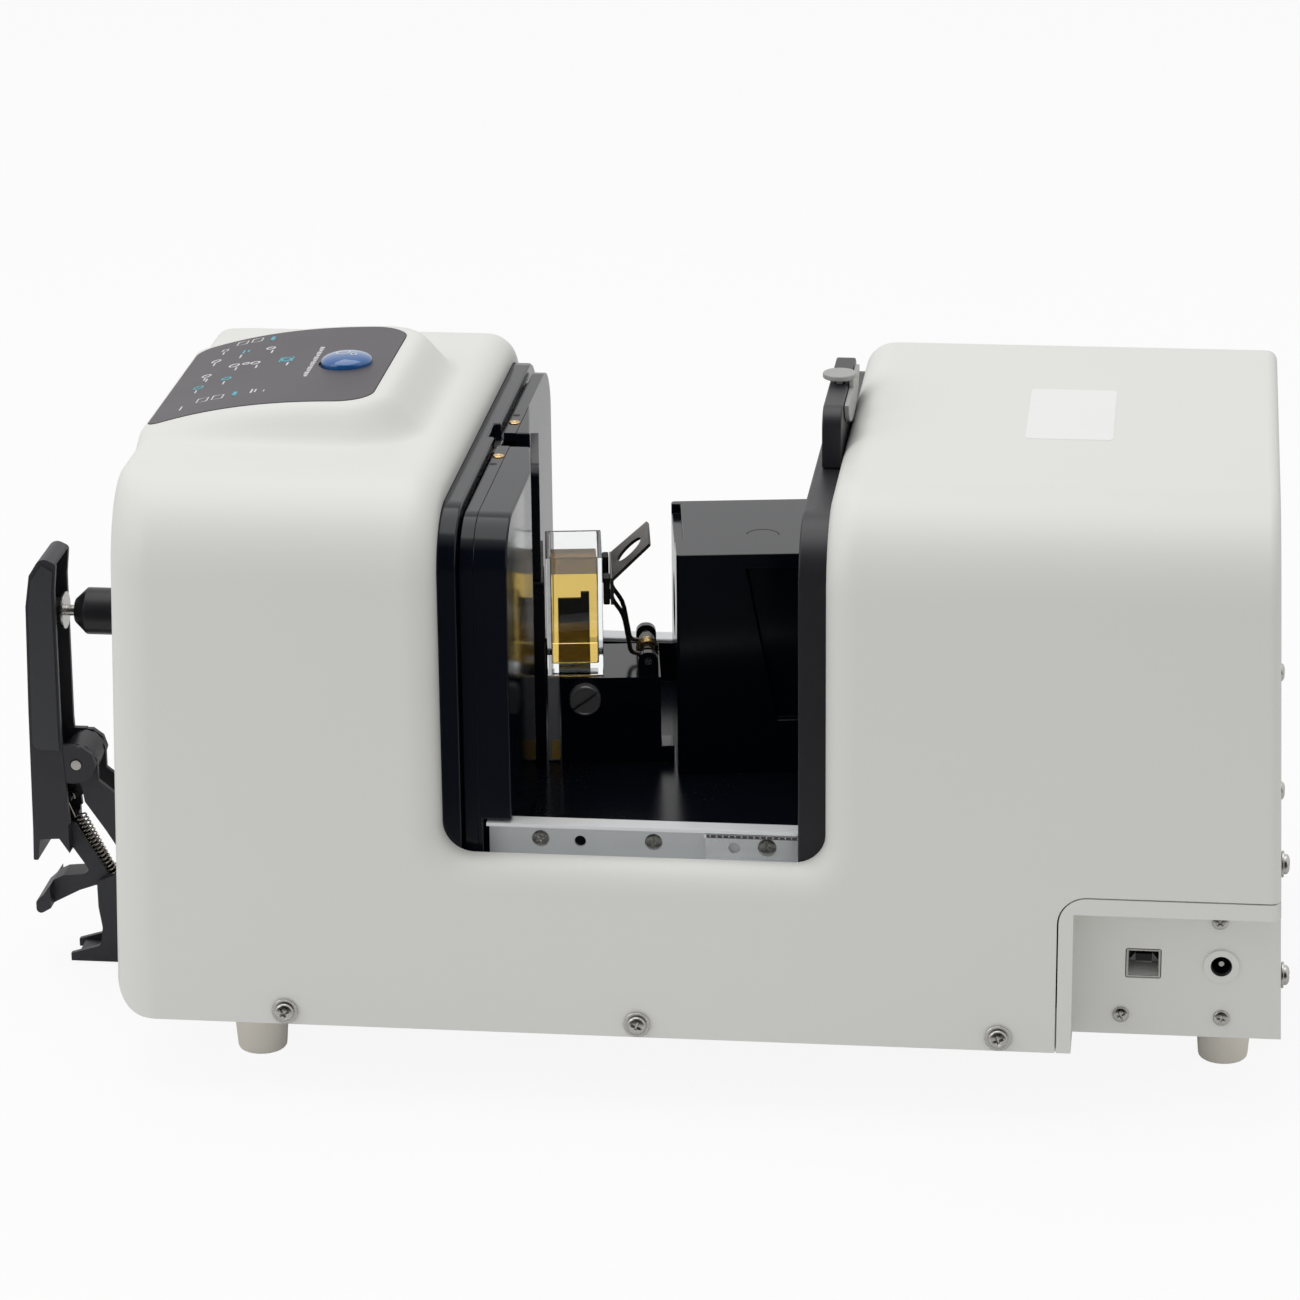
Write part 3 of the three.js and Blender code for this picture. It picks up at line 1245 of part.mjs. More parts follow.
const analyser = { front: 340, rear: 388, half: 60, height: 70 };
add('spectrometer', prism(
  roundedBox(analyser.front, analyser.rear, -analyser.half, analyser.half, wall), 'z',
  deckTop + seatGap, deckTop + analyser.height, edgeSteps,
), satinBlack());

const board = { front: 150, rear: 340, sideGap: 15.5, thick: 1.6, lift: 10, post: 3, inset: 8 };
const boardHalf = chassisHalf - board.sideGap;
function mainBoard() {
  const low = trayTop + seatGap;
  const sheet = block(
    [board.front, board.rear], [-boardHalf, boardHalf], [low + board.lift, low + board.lift + board.thick],
  );
  const posts = [board.front + board.inset, board.rear - board.inset].flatMap((x) => [-1, 1].map((side) => (
    rod(board.post, 'z', low, low + board.lift + board.thick / 2, pegSides)
      .translate(x, side * (boardHalf - board.inset), 0)
  )));
  return join(sheet, ...posts);
}
add('main_board', mainBoard(), finish(0x1f5a34, 0.5));

// The origin lies on the table, under the middle of the whole length
body.position.x = -(bodyRear + holder.front) / 2;

export default whole;
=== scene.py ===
import math

import bmesh
import bpy
from mathutils import Matrix, Vector


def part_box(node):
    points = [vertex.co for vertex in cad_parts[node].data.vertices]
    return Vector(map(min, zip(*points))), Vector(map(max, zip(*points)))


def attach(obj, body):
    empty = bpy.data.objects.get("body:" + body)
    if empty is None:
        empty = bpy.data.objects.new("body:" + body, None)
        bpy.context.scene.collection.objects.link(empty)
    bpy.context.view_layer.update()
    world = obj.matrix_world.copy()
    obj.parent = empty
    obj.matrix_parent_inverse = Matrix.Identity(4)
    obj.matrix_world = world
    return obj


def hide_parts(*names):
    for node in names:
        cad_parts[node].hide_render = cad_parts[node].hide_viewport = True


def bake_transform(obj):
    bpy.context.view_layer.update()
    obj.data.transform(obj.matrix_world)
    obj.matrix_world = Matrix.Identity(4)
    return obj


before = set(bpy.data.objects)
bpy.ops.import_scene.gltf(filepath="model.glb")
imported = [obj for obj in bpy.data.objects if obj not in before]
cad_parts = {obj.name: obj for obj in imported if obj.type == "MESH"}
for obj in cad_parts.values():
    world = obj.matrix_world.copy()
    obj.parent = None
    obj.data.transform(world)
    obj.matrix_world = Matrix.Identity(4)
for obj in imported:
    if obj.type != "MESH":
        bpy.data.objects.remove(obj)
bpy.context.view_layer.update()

# The camera stands before the near side, a little above the instrument and well away from it, as a
# catalogue picture is taken: a long lens, looking down by a fifth of a right angle.
lens_length = 133.3
sensor_width = 36
camera_place = Vector((0.21015, -1.7684, 0.7785))
look_down = 0.344628
look_round = 0.118076
roll = 0.010823
forward = Vector((
    -math.sin(look_round) * math.cos(look_down),
    math.cos(look_round) * math.cos(look_down),
    -math.sin(look_down),
))
level = forward.cross(Vector((0, 0, 1))).normalized()
downward = forward.cross(level).normalized()
right = level * math.cos(roll) + downward * math.sin(roll)
down = downward * math.cos(roll) - level * math.sin(roll)
camera_data = bpy.data.cameras.new("camera")
camera_data.lens = lens_length
camera_data.sensor_width = sensor_width
camera = bpy.data.objects.new("camera", camera_data)
camera.matrix_world = Matrix((
    (right.x, -down.x, -forward.x, camera_place.x),
    (right.y, -down.y, -forward.y, camera_place.y),
    (right.z, -down.z, -forward.z, camera_place.z),
    (0, 0, 0, 1),
))
bpy.context.collection.objects.link(camera)
scene = bpy.context.scene
scene.camera = camera
scene.view_settings.view_transform = "Standard"

# The studio: a white room, one broad lamp overhead and a weaker one before the front. The room is
# white to the eye and dimmer as a light, and it is dark behind the camera, as reflections show.
room_light = 0.55
room_shine = 0.9
dark_until = -0.75
white_from = -0.35
room = bpy.data.worlds.new("room")
scene.world = room
room.use_nodes = True
room_nodes = room.node_tree.nodes
room_links = room.node_tree.links


def worked(tree, operation, first, second):
    """What a Math node makes of two sockets, or of a socket and a number"""
    node = tree.nodes.new("ShaderNodeMath")
    node.operation = operation
    tree.links.new(first, node.inputs[0])
    if isinstance(second, float):
        node.inputs[1].default_value = second
    else:
        tree.links.new(second, node.inputs[1])
    return node.outputs[0]


def mapped(tree, source, start, end, low, high):
    """What a Map Range node makes of a socket that runs from start to end"""
    node = tree.nodes.new("ShaderNodeMapRange")
    for label, value in (("From Min", start), ("From Max", end), ("To Min", low), ("To Max", high)):
        node.inputs[label].default_value = value
    tree.links.new(source, node.inputs["Value"])
    return node.outputs["Result"]


ray = room_nodes.new("ShaderNodeLightPath")
seen = worked(room.node_tree, "MAXIMUM", ray.outputs["Is Camera Ray"], ray.outputs["Is Transmission Ray"])
room_place = room_nodes.new("ShaderNodeTexCoord")
room_sides = room_nodes.new("ShaderNodeSeparateXYZ")
room_links.new(room_place.outputs["Generated"], room_sides.inputs[0])
bright_side = mapped(room.node_tree, room_sides.outputs["Y"], dark_until, white_from, 0.0, room_shine)
shone = worked(room.node_tree, "MULTIPLY", ray.outputs["Is Glossy Ray"], bright_side)
bright = worked(room.node_tree, "MAXIMUM", seen, shone)
lighting = worked(room.node_tree, "MULTIPLY", ray.outputs["Is Diffuse Ray"], room_light)
strength = worked(room.node_tree, "MAXIMUM", bright, lighting)
room_back = room_nodes["Background"]
room_back.inputs["Color"].default_value = (1, 1, 1, 1)
room_links.new(strength, room_back.inputs["Strength"])


def lamp(name, place, target, size, power):
    """A rectangular soft lamp at a place, turned to its target"""
    data = bpy.data.lights.new(name, "AREA")
    data.shape = "RECTANGLE"
    data.size, data.size_y = size
    data.energy = power
    light = bpy.data.objects.new(name, data)
    light.location = place
    light.rotation_euler = (Vector(target) - Vector(place)).to_track_quat("-Z", "Y").to_euler()
    bpy.context.collection.objects.link(light)


lamp("overhead_lamp", (-0.2, 0.1, 1.7), (0.0, 0.0, 0.1), (1.6, 1.4), 11)
lamp("front_lamp", (-1.5, -1.0, 1.1), (0.0, 0.0, 0.12), (1.0, 1.0), 4)

# The table top, white as paper where the eye meets it, with the soft shadow of the instrument on it.
# In front of the near side it is painted black to reflected rays only, a painted dark reflection; the plane
# runs on.
floor_half = 6
paper_dark, paper_light = 0.86, 0.9
paper_glow = 0.9
reflection_dark_start, reflection_dark_end = -0.2, -0.4
reflection_darkness = 0.93
floor_mesh = bpy.data.meshes.new("table_top")
floor_mesh.from_pydata([
    (x * floor_half, y * floor_half, 0) for x, y in ((-1, -1), (1, -1), (1, 1), (-1, 1))
], [], [(0, 1, 2, 3)])
floor = bpy.data.objects.new("table_top", floor_mesh)
bpy.context.collection.objects.link(floor)
floor_paint = bpy.data.materials.new("table_paper")
floor_paint.use_nodes = True
paint_tree = floor_paint.node_tree
nodes = paint_tree.nodes
links = paint_tree.links
paper = nodes["Principled BSDF"]
paper.inputs["Roughness"].default_value = 0.9
paper.inputs["Specular IOR Level"].default_value = 0.0
fibre = nodes.new("ShaderNodeTexNoise")
fibre.inputs["Scale"].default_value = 40
paper_tone = mapped(paint_tree, fibre.outputs["Fac"], 0.0, 1.0, paper_dark, paper_light)
links.new(paper_tone, paper.inputs["Base Color"])
path = nodes.new("ShaderNodeLightPath")
straight = worked(paint_tree, "MAXIMUM", path.outputs["Is Camera Ray"], path.outputs["Is Transmission Ray"])
floor_spot = nodes.new("ShaderNodeTexCoord")
floor_sides = nodes.new("ShaderNodeSeparateXYZ")
links.new(floor_spot.outputs["Object"], floor_sides.inputs[0])
# Painted dark reflection: to glossy rays the floor fades to black in front of the near side.
before = mapped(paint_tree, floor_sides.outputs["Y"], reflection_dark_start, reflection_dark_end, 0.0, reflection_darkness)
reflection_black = nodes.new("ShaderNodeBsdfDiffuse")
reflection_black.inputs["Color"].default_value = (0, 0, 0, 1)
lit_paper = nodes.new("ShaderNodeMixShader")
links.new(worked(paint_tree, "MULTIPLY", straight, paper_glow), lit_paper.inputs["Fac"])
links.new(paper.outputs[0], lit_paper.inputs[1])
links.new(nodes.new("ShaderNodeEmission").outputs[0], lit_paper.inputs[2])
dark_reflection_mix = nodes.new("ShaderNodeMixShader")
links.new(worked(paint_tree, "MULTIPLY", path.outputs["Is Glossy Ray"], before), dark_reflection_mix.inputs["Fac"])
links.new(lit_paper.outputs[0], dark_reflection_mix.inputs[1])
links.new(reflection_black.outputs[0], dark_reflection_mix.inputs[2])
links.new(dark_reflection_mix.outputs[0], nodes["Material Output"].inputs["Surface"])
floor.data.materials.append(floor_paint)

# Main cover: one moulding in white paint with a fine, dry grain, from the front tower over the sill
# of the chamber to the rear housing. Its wall turns in round the chamber with a rolled rim, and the
# tower carries a raised ridge for the control panel that flows into the shoulders.
grain = bpy.data.node_groups.new("moulded_grain", "ShaderNodeTree")
for label, value in (("Patch Scale", 6.0), ("Grain Scale", 900.0), ("Patch Share", 0.5)):
    socket = grain.interface.new_socket(label, in_out="INPUT", socket_type="NodeSocketFloat")
    socket.default_value = value
for label in ("Tone", "Height"):
    grain.interface.new_socket(label, in_out="OUTPUT", socket_type="NodeSocketFloat")
tone_low, tone_high = 0.3, 0.7
gn = grain.nodes
gl = grain.links
grain_in = gn.new("NodeGroupInput")
grain_out = gn.new("NodeGroupOutput")
grain_place = gn.new("ShaderNodeTexCoord")
patches = gn.new("ShaderNodeTexNoise")
patches.inputs["Detail"].default_value = 3
grains = gn.new("ShaderNodeTexNoise")
grains.inputs["Detail"].default_value = 2
gl.new(grain_place.outputs["Object"], patches.inputs["Vector"])
gl.new(grain_place.outputs["Object"], grains.inputs["Vector"])
gl.new(grain_in.outputs["Patch Scale"], patches.inputs["Scale"])
gl.new(grain_in.outputs["Grain Scale"], grains.inputs["Scale"])
grain_mix = gn.new("ShaderNodeMix")
gl.new(grain_in.outputs["Patch Share"], grain_mix.inputs["Factor"])
gl.new(grains.outputs["Fac"], grain_mix.inputs["A"])
gl.new(patches.outputs["Fac"], grain_mix.inputs["B"])
gl.new(grain_mix.outputs["Result"], grain_out.inputs["Tone"])
gl.new(grains.outputs["Fac"], grain_out.inputs["Height"])


def finish_of(name, dark, light, rough, patch=6.0, fine=900.0, share=0.5, bump=0.1, depth=0.00005, **fixed):
    """A finish that varies between two colours and two roughnesses, with a fine grain in its surface"""
    finish = bpy.data.materials.new(name)
    finish.use_nodes = True
    tree = finish.node_tree
    shader = tree.nodes["Principled BSDF"]
    for label, value in fixed.items():
        shader.inputs[label.replace("_", " ")].default_value = value
    group = tree.nodes.new("ShaderNodeGroup")
    group.node_tree = grain
    group.inputs["Patch Scale"].default_value = patch
    group.inputs["Grain Scale"].default_value = fine
    group.inputs["Patch Share"].default_value = share
    colour = tree.nodes.new("ShaderNodeMix")
    colour.data_type = "RGBA"
    colour.inputs["A"].default_value = (*dark, 1)
    colour.inputs["B"].default_value = (*light, 1)
    tree.links.new(group.outputs["Tone"], colour.inputs["Factor"])
    tree.links.new(colour.outputs["Result"], shader.inputs["Base Color"])
    gloss = mapped(tree, group.outputs["Tone"], tone_low, tone_high, *rough)
    tree.links.new(gloss, shader.inputs["Roughness"])
    relief = tree.nodes.new("ShaderNodeBump")
    relief.inputs["Strength"].default_value = bump
    relief.inputs["Distance"].default_value = depth
    tree.links.new(group.outputs["Height"], relief.inputs["Height"])
    tree.links.new(relief.outputs["Normal"], shader.inputs["Normal"])
    return finish


crease_turn = 0.6


def smoothed(mesh, turn=crease_turn):
    """Smooth shading over faces that meet at less than this turn"""
    for face in mesh.faces:
        face.smooth = True
    for edge in mesh.edges:
        edge.smooth = edge.is_manifold and edge.calc_face_angle() < turn


def piece_of(mesh, name, body, finish, node=None):
    """A new piece from a mesh, on its body and in its finish, which stands for a node where it has one"""
    data = bpy.data.meshes.new(name)
    mesh.to_mesh(data)
    mesh.free()
    piece = bpy.data.objects.new(name, data)
    bpy.context.collection.objects.link(piece)
    data.materials.append(finish)
    weigh = piece.modifiers.new("even_shading", "WEIGHTED_NORMAL")
    weigh.keep_sharp = True
    if body:
        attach(piece, body)
    if node:
        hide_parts(node)
    return piece


white_paint = finish_of(
    "white_paint", (0.77, 0.77, 0.735), (0.80, 0.80, 0.765), (0.42, 0.5), patch=5, fine=1400, share=0.7,
    bump=0.12, depth=0.00003,
)
mm = 0.001
body_zero = 187.75
body_front = -6.1
body_rear = 437
half_width = 124
body_top = 240
body_foot = 29
shoulder = 35
corner_y = half_width - shoulder
corner_z = body_top - shoulder
front_corner = 17
front_top = 6
front_foot = 14
rear_edge = 4
front_lean = 6.6
rear_lean = 7
lean_end = 60
wall = 3
ridge_front = 0.2
ridge_run = 88
ridge_bend = 2.5
ridge_step = 1.3
ridge_rise = 12.7
ridge_lip = 1.2
brink_half = 52.4
brink_round = 14
brow = 92
flank_run = 15
rear_run = 17
chamber_front = 122.5
chamber_rear = 266.5
chamber_sill = 97.5
chamber_round = 12
rim_width = 12
rim_depth = 10
flange_depth = 11.5
seam_gap = 0.3
overrun = 5
well_out = 60
corner_rounded, corner_straight = 0.8, 0.2
shoulder_steps = 14
top_steps, top_last = 40, 33
front_steps = 12
middle_steps = 46
past_ridge = 2
rear_steps = 5
rim_steps = 12


def spot(x, y, z):
    """A place in the frame, from millimetres behind the tower's front, from the middle and from the table"""
    return Vector(((x - body_zero) * mm, y * mm, z * mm))


def lofted(rings):
    """A skin through rings with as many points each, with flat ends"""
    mesh = bmesh.new()
    rows = [[mesh.verts.new(point) for point in ring] for ring in rings]
    count = len(rings[0])
    for row, following in zip(rows, rows[1:]):
        for i in range(count):
            mesh.faces.new((row[i], row[(i + 1) % count], following[(i + 1) % count], following[i]))
    mesh.faces.new(list(reversed(rows[0])))
    mesh.faces.new(rows[-1])
    bmesh.ops.recalc_face_normals(mesh, faces=mesh.faces)
    return mesh


def carved(mesh, tools, operation="DIFFERENCE"):
    """A solid after others are taken out of it, or after it is kept only where it meets them"""
    helpers = []
    for form in [mesh, *tools]:
        data = bpy.data.meshes.new("shaping")
        form.to_mesh(data)
        form.free()
        helpers.append(bpy.data.objects.new("shaping", data))
        bpy.context.collection.objects.link(helpers[-1])
    for tool in helpers[1:]:
        step = helpers[0].modifiers.new("shaping", "BOOLEAN")
        step.operation = operation
        step.solver = "EXACT"
        step.object = tool
    bpy.context.view_layer.update()
    result = bmesh.new()
    result.from_object(helpers[0], bpy.context.evaluated_depsgraph_get())
    for helper in helpers:
        data = helper.data
        bpy.data.objects.remove(helper)
        bpy.data.meshes.remove(data)
    bmesh.ops.remove_doubles(result, verts=result.verts, dist=1e-6)
    return result


def drawn_in(radius, depth):
    """How far a quarter round has drawn in at a depth behind its face"""
    return 0 if depth >= radius else radius - math.sqrt(radius ** 2 - (radius - depth) ** 2)


def eased(share):
    """A share of the way that starts and ends softly"""
    share = min(max(share, 0), 1)
    return share * share * (3 - 2 * share)


def crest_at(x):
    """Height of the ridge's top, which rises from the front and levels out towards the brow"""
    along = min(max((x - ridge_front) / ridge_run, 0), 1)
    return body_top + ridge_step + ridge_rise * (1 - (1 - along) ** ridge_bend)


def ridge_share(x, y):
    """How much of the ridge's height stands at a place in plan: all on the brink, none at its foot"""
    side = max(abs(y) - (brink_half - brink_round), 0)
    back = max(x - (brow - brink_round), 0)
    off = math.hypot(side, back) - brink_round
    if off <= 0:
        return 1
    run = flank_run + (rear_run - flank_run) * (math.atan2(back, side) / (math.pi / 2))
    return 1 - eased(off / run)


def arc_points(steps, centre, reach, start, turn):
    """Points along an arc, from its starting angle and on by a turn"""
    angles = [start + turn * i / steps for i in range(steps + 1)]
    return [(centre[0] + reach * math.cos(angle), centre[1] + reach * math.sin(angle)) for angle in angles]


def cover_section(inset, x, lean, side=0.0, top=0.0, foot=0.0, lip=0.0):
    """One ring of the cover's skin, drawn in at the sides, top and foot, with a flat middle to its top"""
    half = half_width - inset - side
    crown = body_top - inset - top
    points = [(-half, body_foot + inset + foot)]
    for i in range(shoulder_steps + 1):
        turn = math.pi / 2 * i / shoulder_steps
        points.append((
            -corner_y - (half - corner_y) * math.cos(turn), corner_z + (crown - corner_z) * math.sin(turn),
        ))
    reach = corner_y - inset
    crest = max(crest_at(x + lean) - inset - lip, crown)
    for i in range(1, top_last + 1):
        y = -reach * (1 - i / top_steps)
        points.append((y, crown + (crest - crown) * ridge_share(x + lean, y)))
    points += [(-y, z) for y, z in reversed(points)]
    return [spot(x + lean * (z - body_foot) / (body_top - body_foot), y, z) for y, z in points]


def cover_skin(inset):
    """The cover's outer form, or the space inside its wall"""
    front = body_front + inset
    rings = []
    for i in range(front_steps + 1):
        depth = (front_corner - inset) * (1 - math.cos(math.pi / 2 * i / front_steps))
        lean = front_lean * (1 - depth / (lean_end - front))
        crease = corner_rounded * drawn_in(front_corner - inset, depth)
        crease += corner_straight * (front_corner - inset - depth)
        rings.append(cover_section(
            inset, front + depth, lean, crease, drawn_in(front_top - inset, depth),
            drawn_in(front_foot - inset, depth), drawn_in(ridge_lip, depth),
        ))
    start = front + front_corner - inset
    for i in range(1, middle_steps + 1):
        x = start + (brow + rear_run + past_ridge - start) * i / middle_steps
        rings.append(cover_section(inset, x, front_lean * max(1 - (x - front) / (lean_end - front), 0)))
    edge = max(rear_edge - inset, seam_gap)
    for i in range(rear_steps + 1):
        depth = edge * math.sin(math.pi / 2 * i / rear_steps)
        draw = edge - math.sqrt(max(edge ** 2 - depth ** 2, 0))
        rings.append(cover_section(inset, body_rear - inset - edge + depth, -rear_lean, draw, draw, 0, draw))
    return lofted(rings)


def chamber_outline(grow, top):
    """The chamber's outline from the side, grown by so much, with its open end at this height"""
    radius = chamber_round + grow
    front, rear, sill = chamber_front - grow, chamber_rear + grow, chamber_sill - grow
    return [
        (front, top), *arc_points(10, (front + radius, sill + radius), radius, math.pi, math.pi / 2),
        *arc_points(10, (rear - radius, sill + radius), radius, -math.pi / 2, math.pi / 2), (rear, top),
    ]


def rim_tools(inset):
    """What the chamber takes out of the cover down to its flange: the arch over the top and both sides"""
    profile = [(
        rim_width - (rim_width - inset) * math.sin(math.pi / 2 * i / rim_steps),
        rim_depth - (rim_depth - inset) * math.cos(math.pi / 2 * i / rim_steps),
    ) for i in range(rim_steps + 1)] + [(inset, flange_depth)]
    low = corner_z - shoulder
    path = [(-half_width, low, -1, 0)]
    for i in range(shoulder_steps + 1):
        turn = math.pi / 2 * i / shoulder_steps
        ny, nz = -math.cos(turn), math.sin(turn)
        path.append((-corner_y + shoulder * ny, corner_z + shoulder * nz, ny, nz))
    path += [(-y, z, -ny, nz) for y, z, ny, nz in reversed(path)]
    across = [(chamber_front - rim_width, -overrun)]
    across += [(chamber_front - run, depth) for run, depth in profile]
    across += [(chamber_rear + run, depth) for run, depth in reversed(profile)]
    across += [(chamber_rear + rim_width, -overrun)]
    tools = [lofted([
        [spot(x, y - ny * depth, z - nz * depth) for x, depth in across] for y, z, ny, nz in path
    ])]
    for side in (-1, 1):
        tools.append(lofted([
            [spot(x, side * (half_width - depth), z) for x, z in chamber_outline(run, low + overrun)]
            for run, depth in [(rim_width, -overrun), *profile]
        ]))
    return tools


def upright(points, low, high):
    """A straight solid on an outline of (x, y)"""
    return lofted([[spot(x, y, z) for x, y in points] for z in (low, high)])


def crosswise(points, low, high):
    """A straight solid across the body on an outline of (x, z)"""
    return lofted([[spot(x, y, z) for x, z in points] for y in (low, high)])


def round_bar(place, axis, radius, length, sides=48):
    """A straight round bar from a place along an axis, all in millimetres of the body"""
    along = Vector(axis).normalized()
    across = along.orthogonal().normalized()
    up = along.cross(across)
    return lofted([[
        spot(*(Vector(place) + along * reach + (across * math.cos(turn) + up * math.sin(turn)) * radius))
        for turn in (2 * math.pi * i / sides for i in range(sides))
    ] for reach in (0, length)])


seam_front = 353
seam_top = 92
seam_round = 11
screw_places = (62, 196.4, 332)
screw_height = 34.5
screw_hole = 2.3
port_height = 149
port_radius = 32
port_depth = 17
button_place = 71
button_radius = 10
button_gap = 0.4
button_axis = (-0.031, 0, 1)
bore_below, bore_length = 22, 40
panel_front = 2
panel_rear = 88
panel_half = 51
panel_front_round = 6
panel_rear_round = 14
panel_steps = 48
panel_below, panel_above = 20, 30
panel_pocket = 1.0


def panel_sheet(above, below, grow):
    """The panel's rounded plan, cut from a band that follows the ridge's top"""
    front, rear, half = panel_front - grow, panel_rear + grow, panel_half + grow
    corners = ((front, -half, panel_front_round, math.pi), (rear, -half, panel_rear_round, -math.pi / 2),
               (rear, half, panel_rear_round, 0), (front, half, panel_front_round, math.pi / 2))
    plan = []
    for x, y, radius, start in corners:
        centre = (x + radius if x == front else x - radius, y + radius if y < 0 else y - radius)
        plan += arc_points(10, centre, radius, start, math.pi / 2)
    start, run = panel_front - overrun, panel_rear - panel_front + 2 * overrun
    xs = [start + run * i / panel_steps for i in range(panel_steps + 1)]
    band = [(x, crest_at(x) + above) for x in xs] + [(x, crest_at(x) - below) for x in reversed(xs)]
    block = upright(plan, body_top - panel_below, body_top + panel_above)
    return carved(block, [crosswise(band, -half_width, half_width)], "INTERSECT")


def button_bore():
    """The hole that the measure button stands in, square to the ridge under it"""
    place = (button_place, 0, crest_at(button_place) - bore_below)
    return round_bar(place, button_axis, button_radius + button_gap, bore_length)


inside = carved(cover_skin(wall), rim_tools(wall))
seam_outline = [
    (seam_front, body_foot - overrun), (body_rear + well_out, body_foot - overrun),
    (body_rear + well_out, seam_top),
    *arc_points(10, (seam_front + seam_round, seam_top - seam_round), seam_round, math.pi / 2, math.pi / 2),
]
across_body = half_width + overrun
tray_front = body_front + front_foot + wall
tray_half = half_width - wall
tools = [
    *rim_tools(0),
    crosswise(chamber_outline(0, body_top + well_out), -across_body, across_body),
    inside,
    upright([
        (tray_front, -tray_half), (body_rear + well_out, -tray_half), (body_rear + well_out, tray_half),
        (tray_front, tray_half),
    ], body_foot - well_out, body_foot + wall + overrun),
    crosswise(seam_outline, -across_body, across_body),
    round_bar((body_front - overrun, 0, port_height), (1, 0, 0), port_radius + seam_gap, port_depth),
    button_bore(),
    panel_sheet(overrun, panel_pocket, seam_gap),
]
for x in screw_places:
    tools.append(round_bar((x, -across_body, screw_height), (0, 1, 0), screw_hole, 2 * across_body, 16))
cover = carved(cover_skin(0), tools)
smoothed(cover)
piece_of(cover, "main_cover_shell", "base", white_paint, "main_cover")

# Type plate: a thin blank label of white film with rounded corners, stuck on the rear housing's top
# behind the chamber.
label_paper = finish_of(
    "label_paper", (0.86, 0.86, 0.85), (0.90, 0.90, 0.89), (0.35, 0.45), patch=30, fine=900, bump=0.05,
)
label_front, label_rear, label_half = 337, 366, 30.5
label_round = 2
label_sunk, label_proud = 0.1, 0.15
label_corners = (
    (label_front, -label_half, math.pi), (label_rear, -label_half, -math.pi / 2), (label_rear, label_half, 0),
    (label_front, label_half, math.pi / 2),
)
label = upright([
    point for x, y, start in label_corners for point in arc_points(6, (x, y), label_round, start, math.pi / 2)
], body_top - label_sunk, body_top + label_proud)
smoothed(label)
piece_of(label, "type_label", "base", label_paper)

# Rear corner housing: the same moulding grade, set under the main cover's step seam, with the deep
# recess for the sockets.
weld = 2e-6
flat_turn = 0.01


def bevelled(mesh, edges, width, steps):
    """The edges of a form broken by a small round"""
    bmesh.ops.bevel(
        mesh, geom=edges, offset=width, segments=steps, profile=0.5, affect="EDGES", clamp_overlap=True,
    )


def dressed(node, body, finish, edge=0.0003, steps=2):
    """A solid's own faces with its sharp edges broken, in its finish"""
    mesh = bmesh.new()
    mesh.from_mesh(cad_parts[node].data)
    bmesh.ops.remove_doubles(mesh, verts=mesh.verts, dist=weld)
    bmesh.ops.dissolve_limit(mesh, angle_limit=flat_turn, verts=mesh.verts, edges=mesh.edges)
    if edge:
        sharp = [e for e in mesh.edges if e.is_manifold and e.calc_face_angle() > crease_turn]
        bevelled(mesh, sharp, edge, steps)
    smoothed(mesh)
    return piece_of(mesh, node + "_piece", body, finish, node)


dressed("rear_corner_housing", "base", white_paint, edge=0.0007, steps=3)

# Sockets: a nickel-plated USB shell with a black tongue, its walls inside in a light grey that is painted
# light, lighter than their shade, and a black power jack with a bright pin, set in a dished ring of the
# housing.
nickel = finish_of(
    "nickel_plate", (0.42, 0.41, 0.39), (0.66, 0.65, 0.62), (0.2, 0.34), patch=90, fine=700, Metallic=1.0,
)
black_moulding = finish_of(
    "black_moulding", (0.008, 0.008, 0.010), (0.016, 0.016, 0.018), (0.3, 0.42), patch=40, fine=1200,
    bump=0.15, Specular_IOR_Level=0.35,
)
socket = dressed("usb_socket", "base", nickel, edge=0.00015)
socket.data.materials.append(black_moulding)
# Painted light: the lining is lightened so that the shaded walls inside the socket look lit.
socket_painted_light_lining = finish_of(
    "socket_painted_light_lining", (0.66, 0.66, 0.64), (0.74, 0.74, 0.72), (0.5, 0.6), patch=60, bump=0.05,
)
socket.data.materials.append(socket_painted_light_lining)
tongue_half = 3.6
tongue_drop = 6.5
shell_lip = 0.4
socket_low, socket_high = (Vector(corner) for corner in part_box("usb_socket"))
for face in socket.data.polygons:
    tongue = abs(face.center.x - (socket_low.x + socket_high.x) / 2) < tongue_half * mm
    if face.center.y > socket_low.y + shell_lip * mm:
        face.material_index = 1 if tongue and face.center.z > socket_high.z - tongue_drop * mm else 2
dressed("power_jack", "base", black_moulding, edge=0.0002)
dressed("power_jack_pin", "base", nickel, edge=0.0001)
axis_radius = 0.01


def turned_form(profile, sides=32):
    """A form turned about its own upright axis from a profile of (radius, height), in millimetres"""
    turns = [2 * math.pi * i / sides for i in range(sides)]
    return lofted([
        [Vector((reach * math.cos(turn), reach * math.sin(turn), height)) for turn in turns]
        for reach, height in ((max(radius, axis_radius), height) for radius, height in profile)
    ])


def seated(mesh, place, axis, turn=0.0):
    """A form in millimetres set on its place in the body, with its own axis along the given one"""
    tilt = Vector((0, 0, 1)).rotation_difference(Vector(axis)).to_matrix().to_4x4()
    form = mesh.copy()
    turned = Matrix.Rotation(turn, 4, "Z") @ Matrix.Scale(mm, 4)
    form.transform(Matrix.Translation(spot(*place)) @ tilt @ turned)
    return form


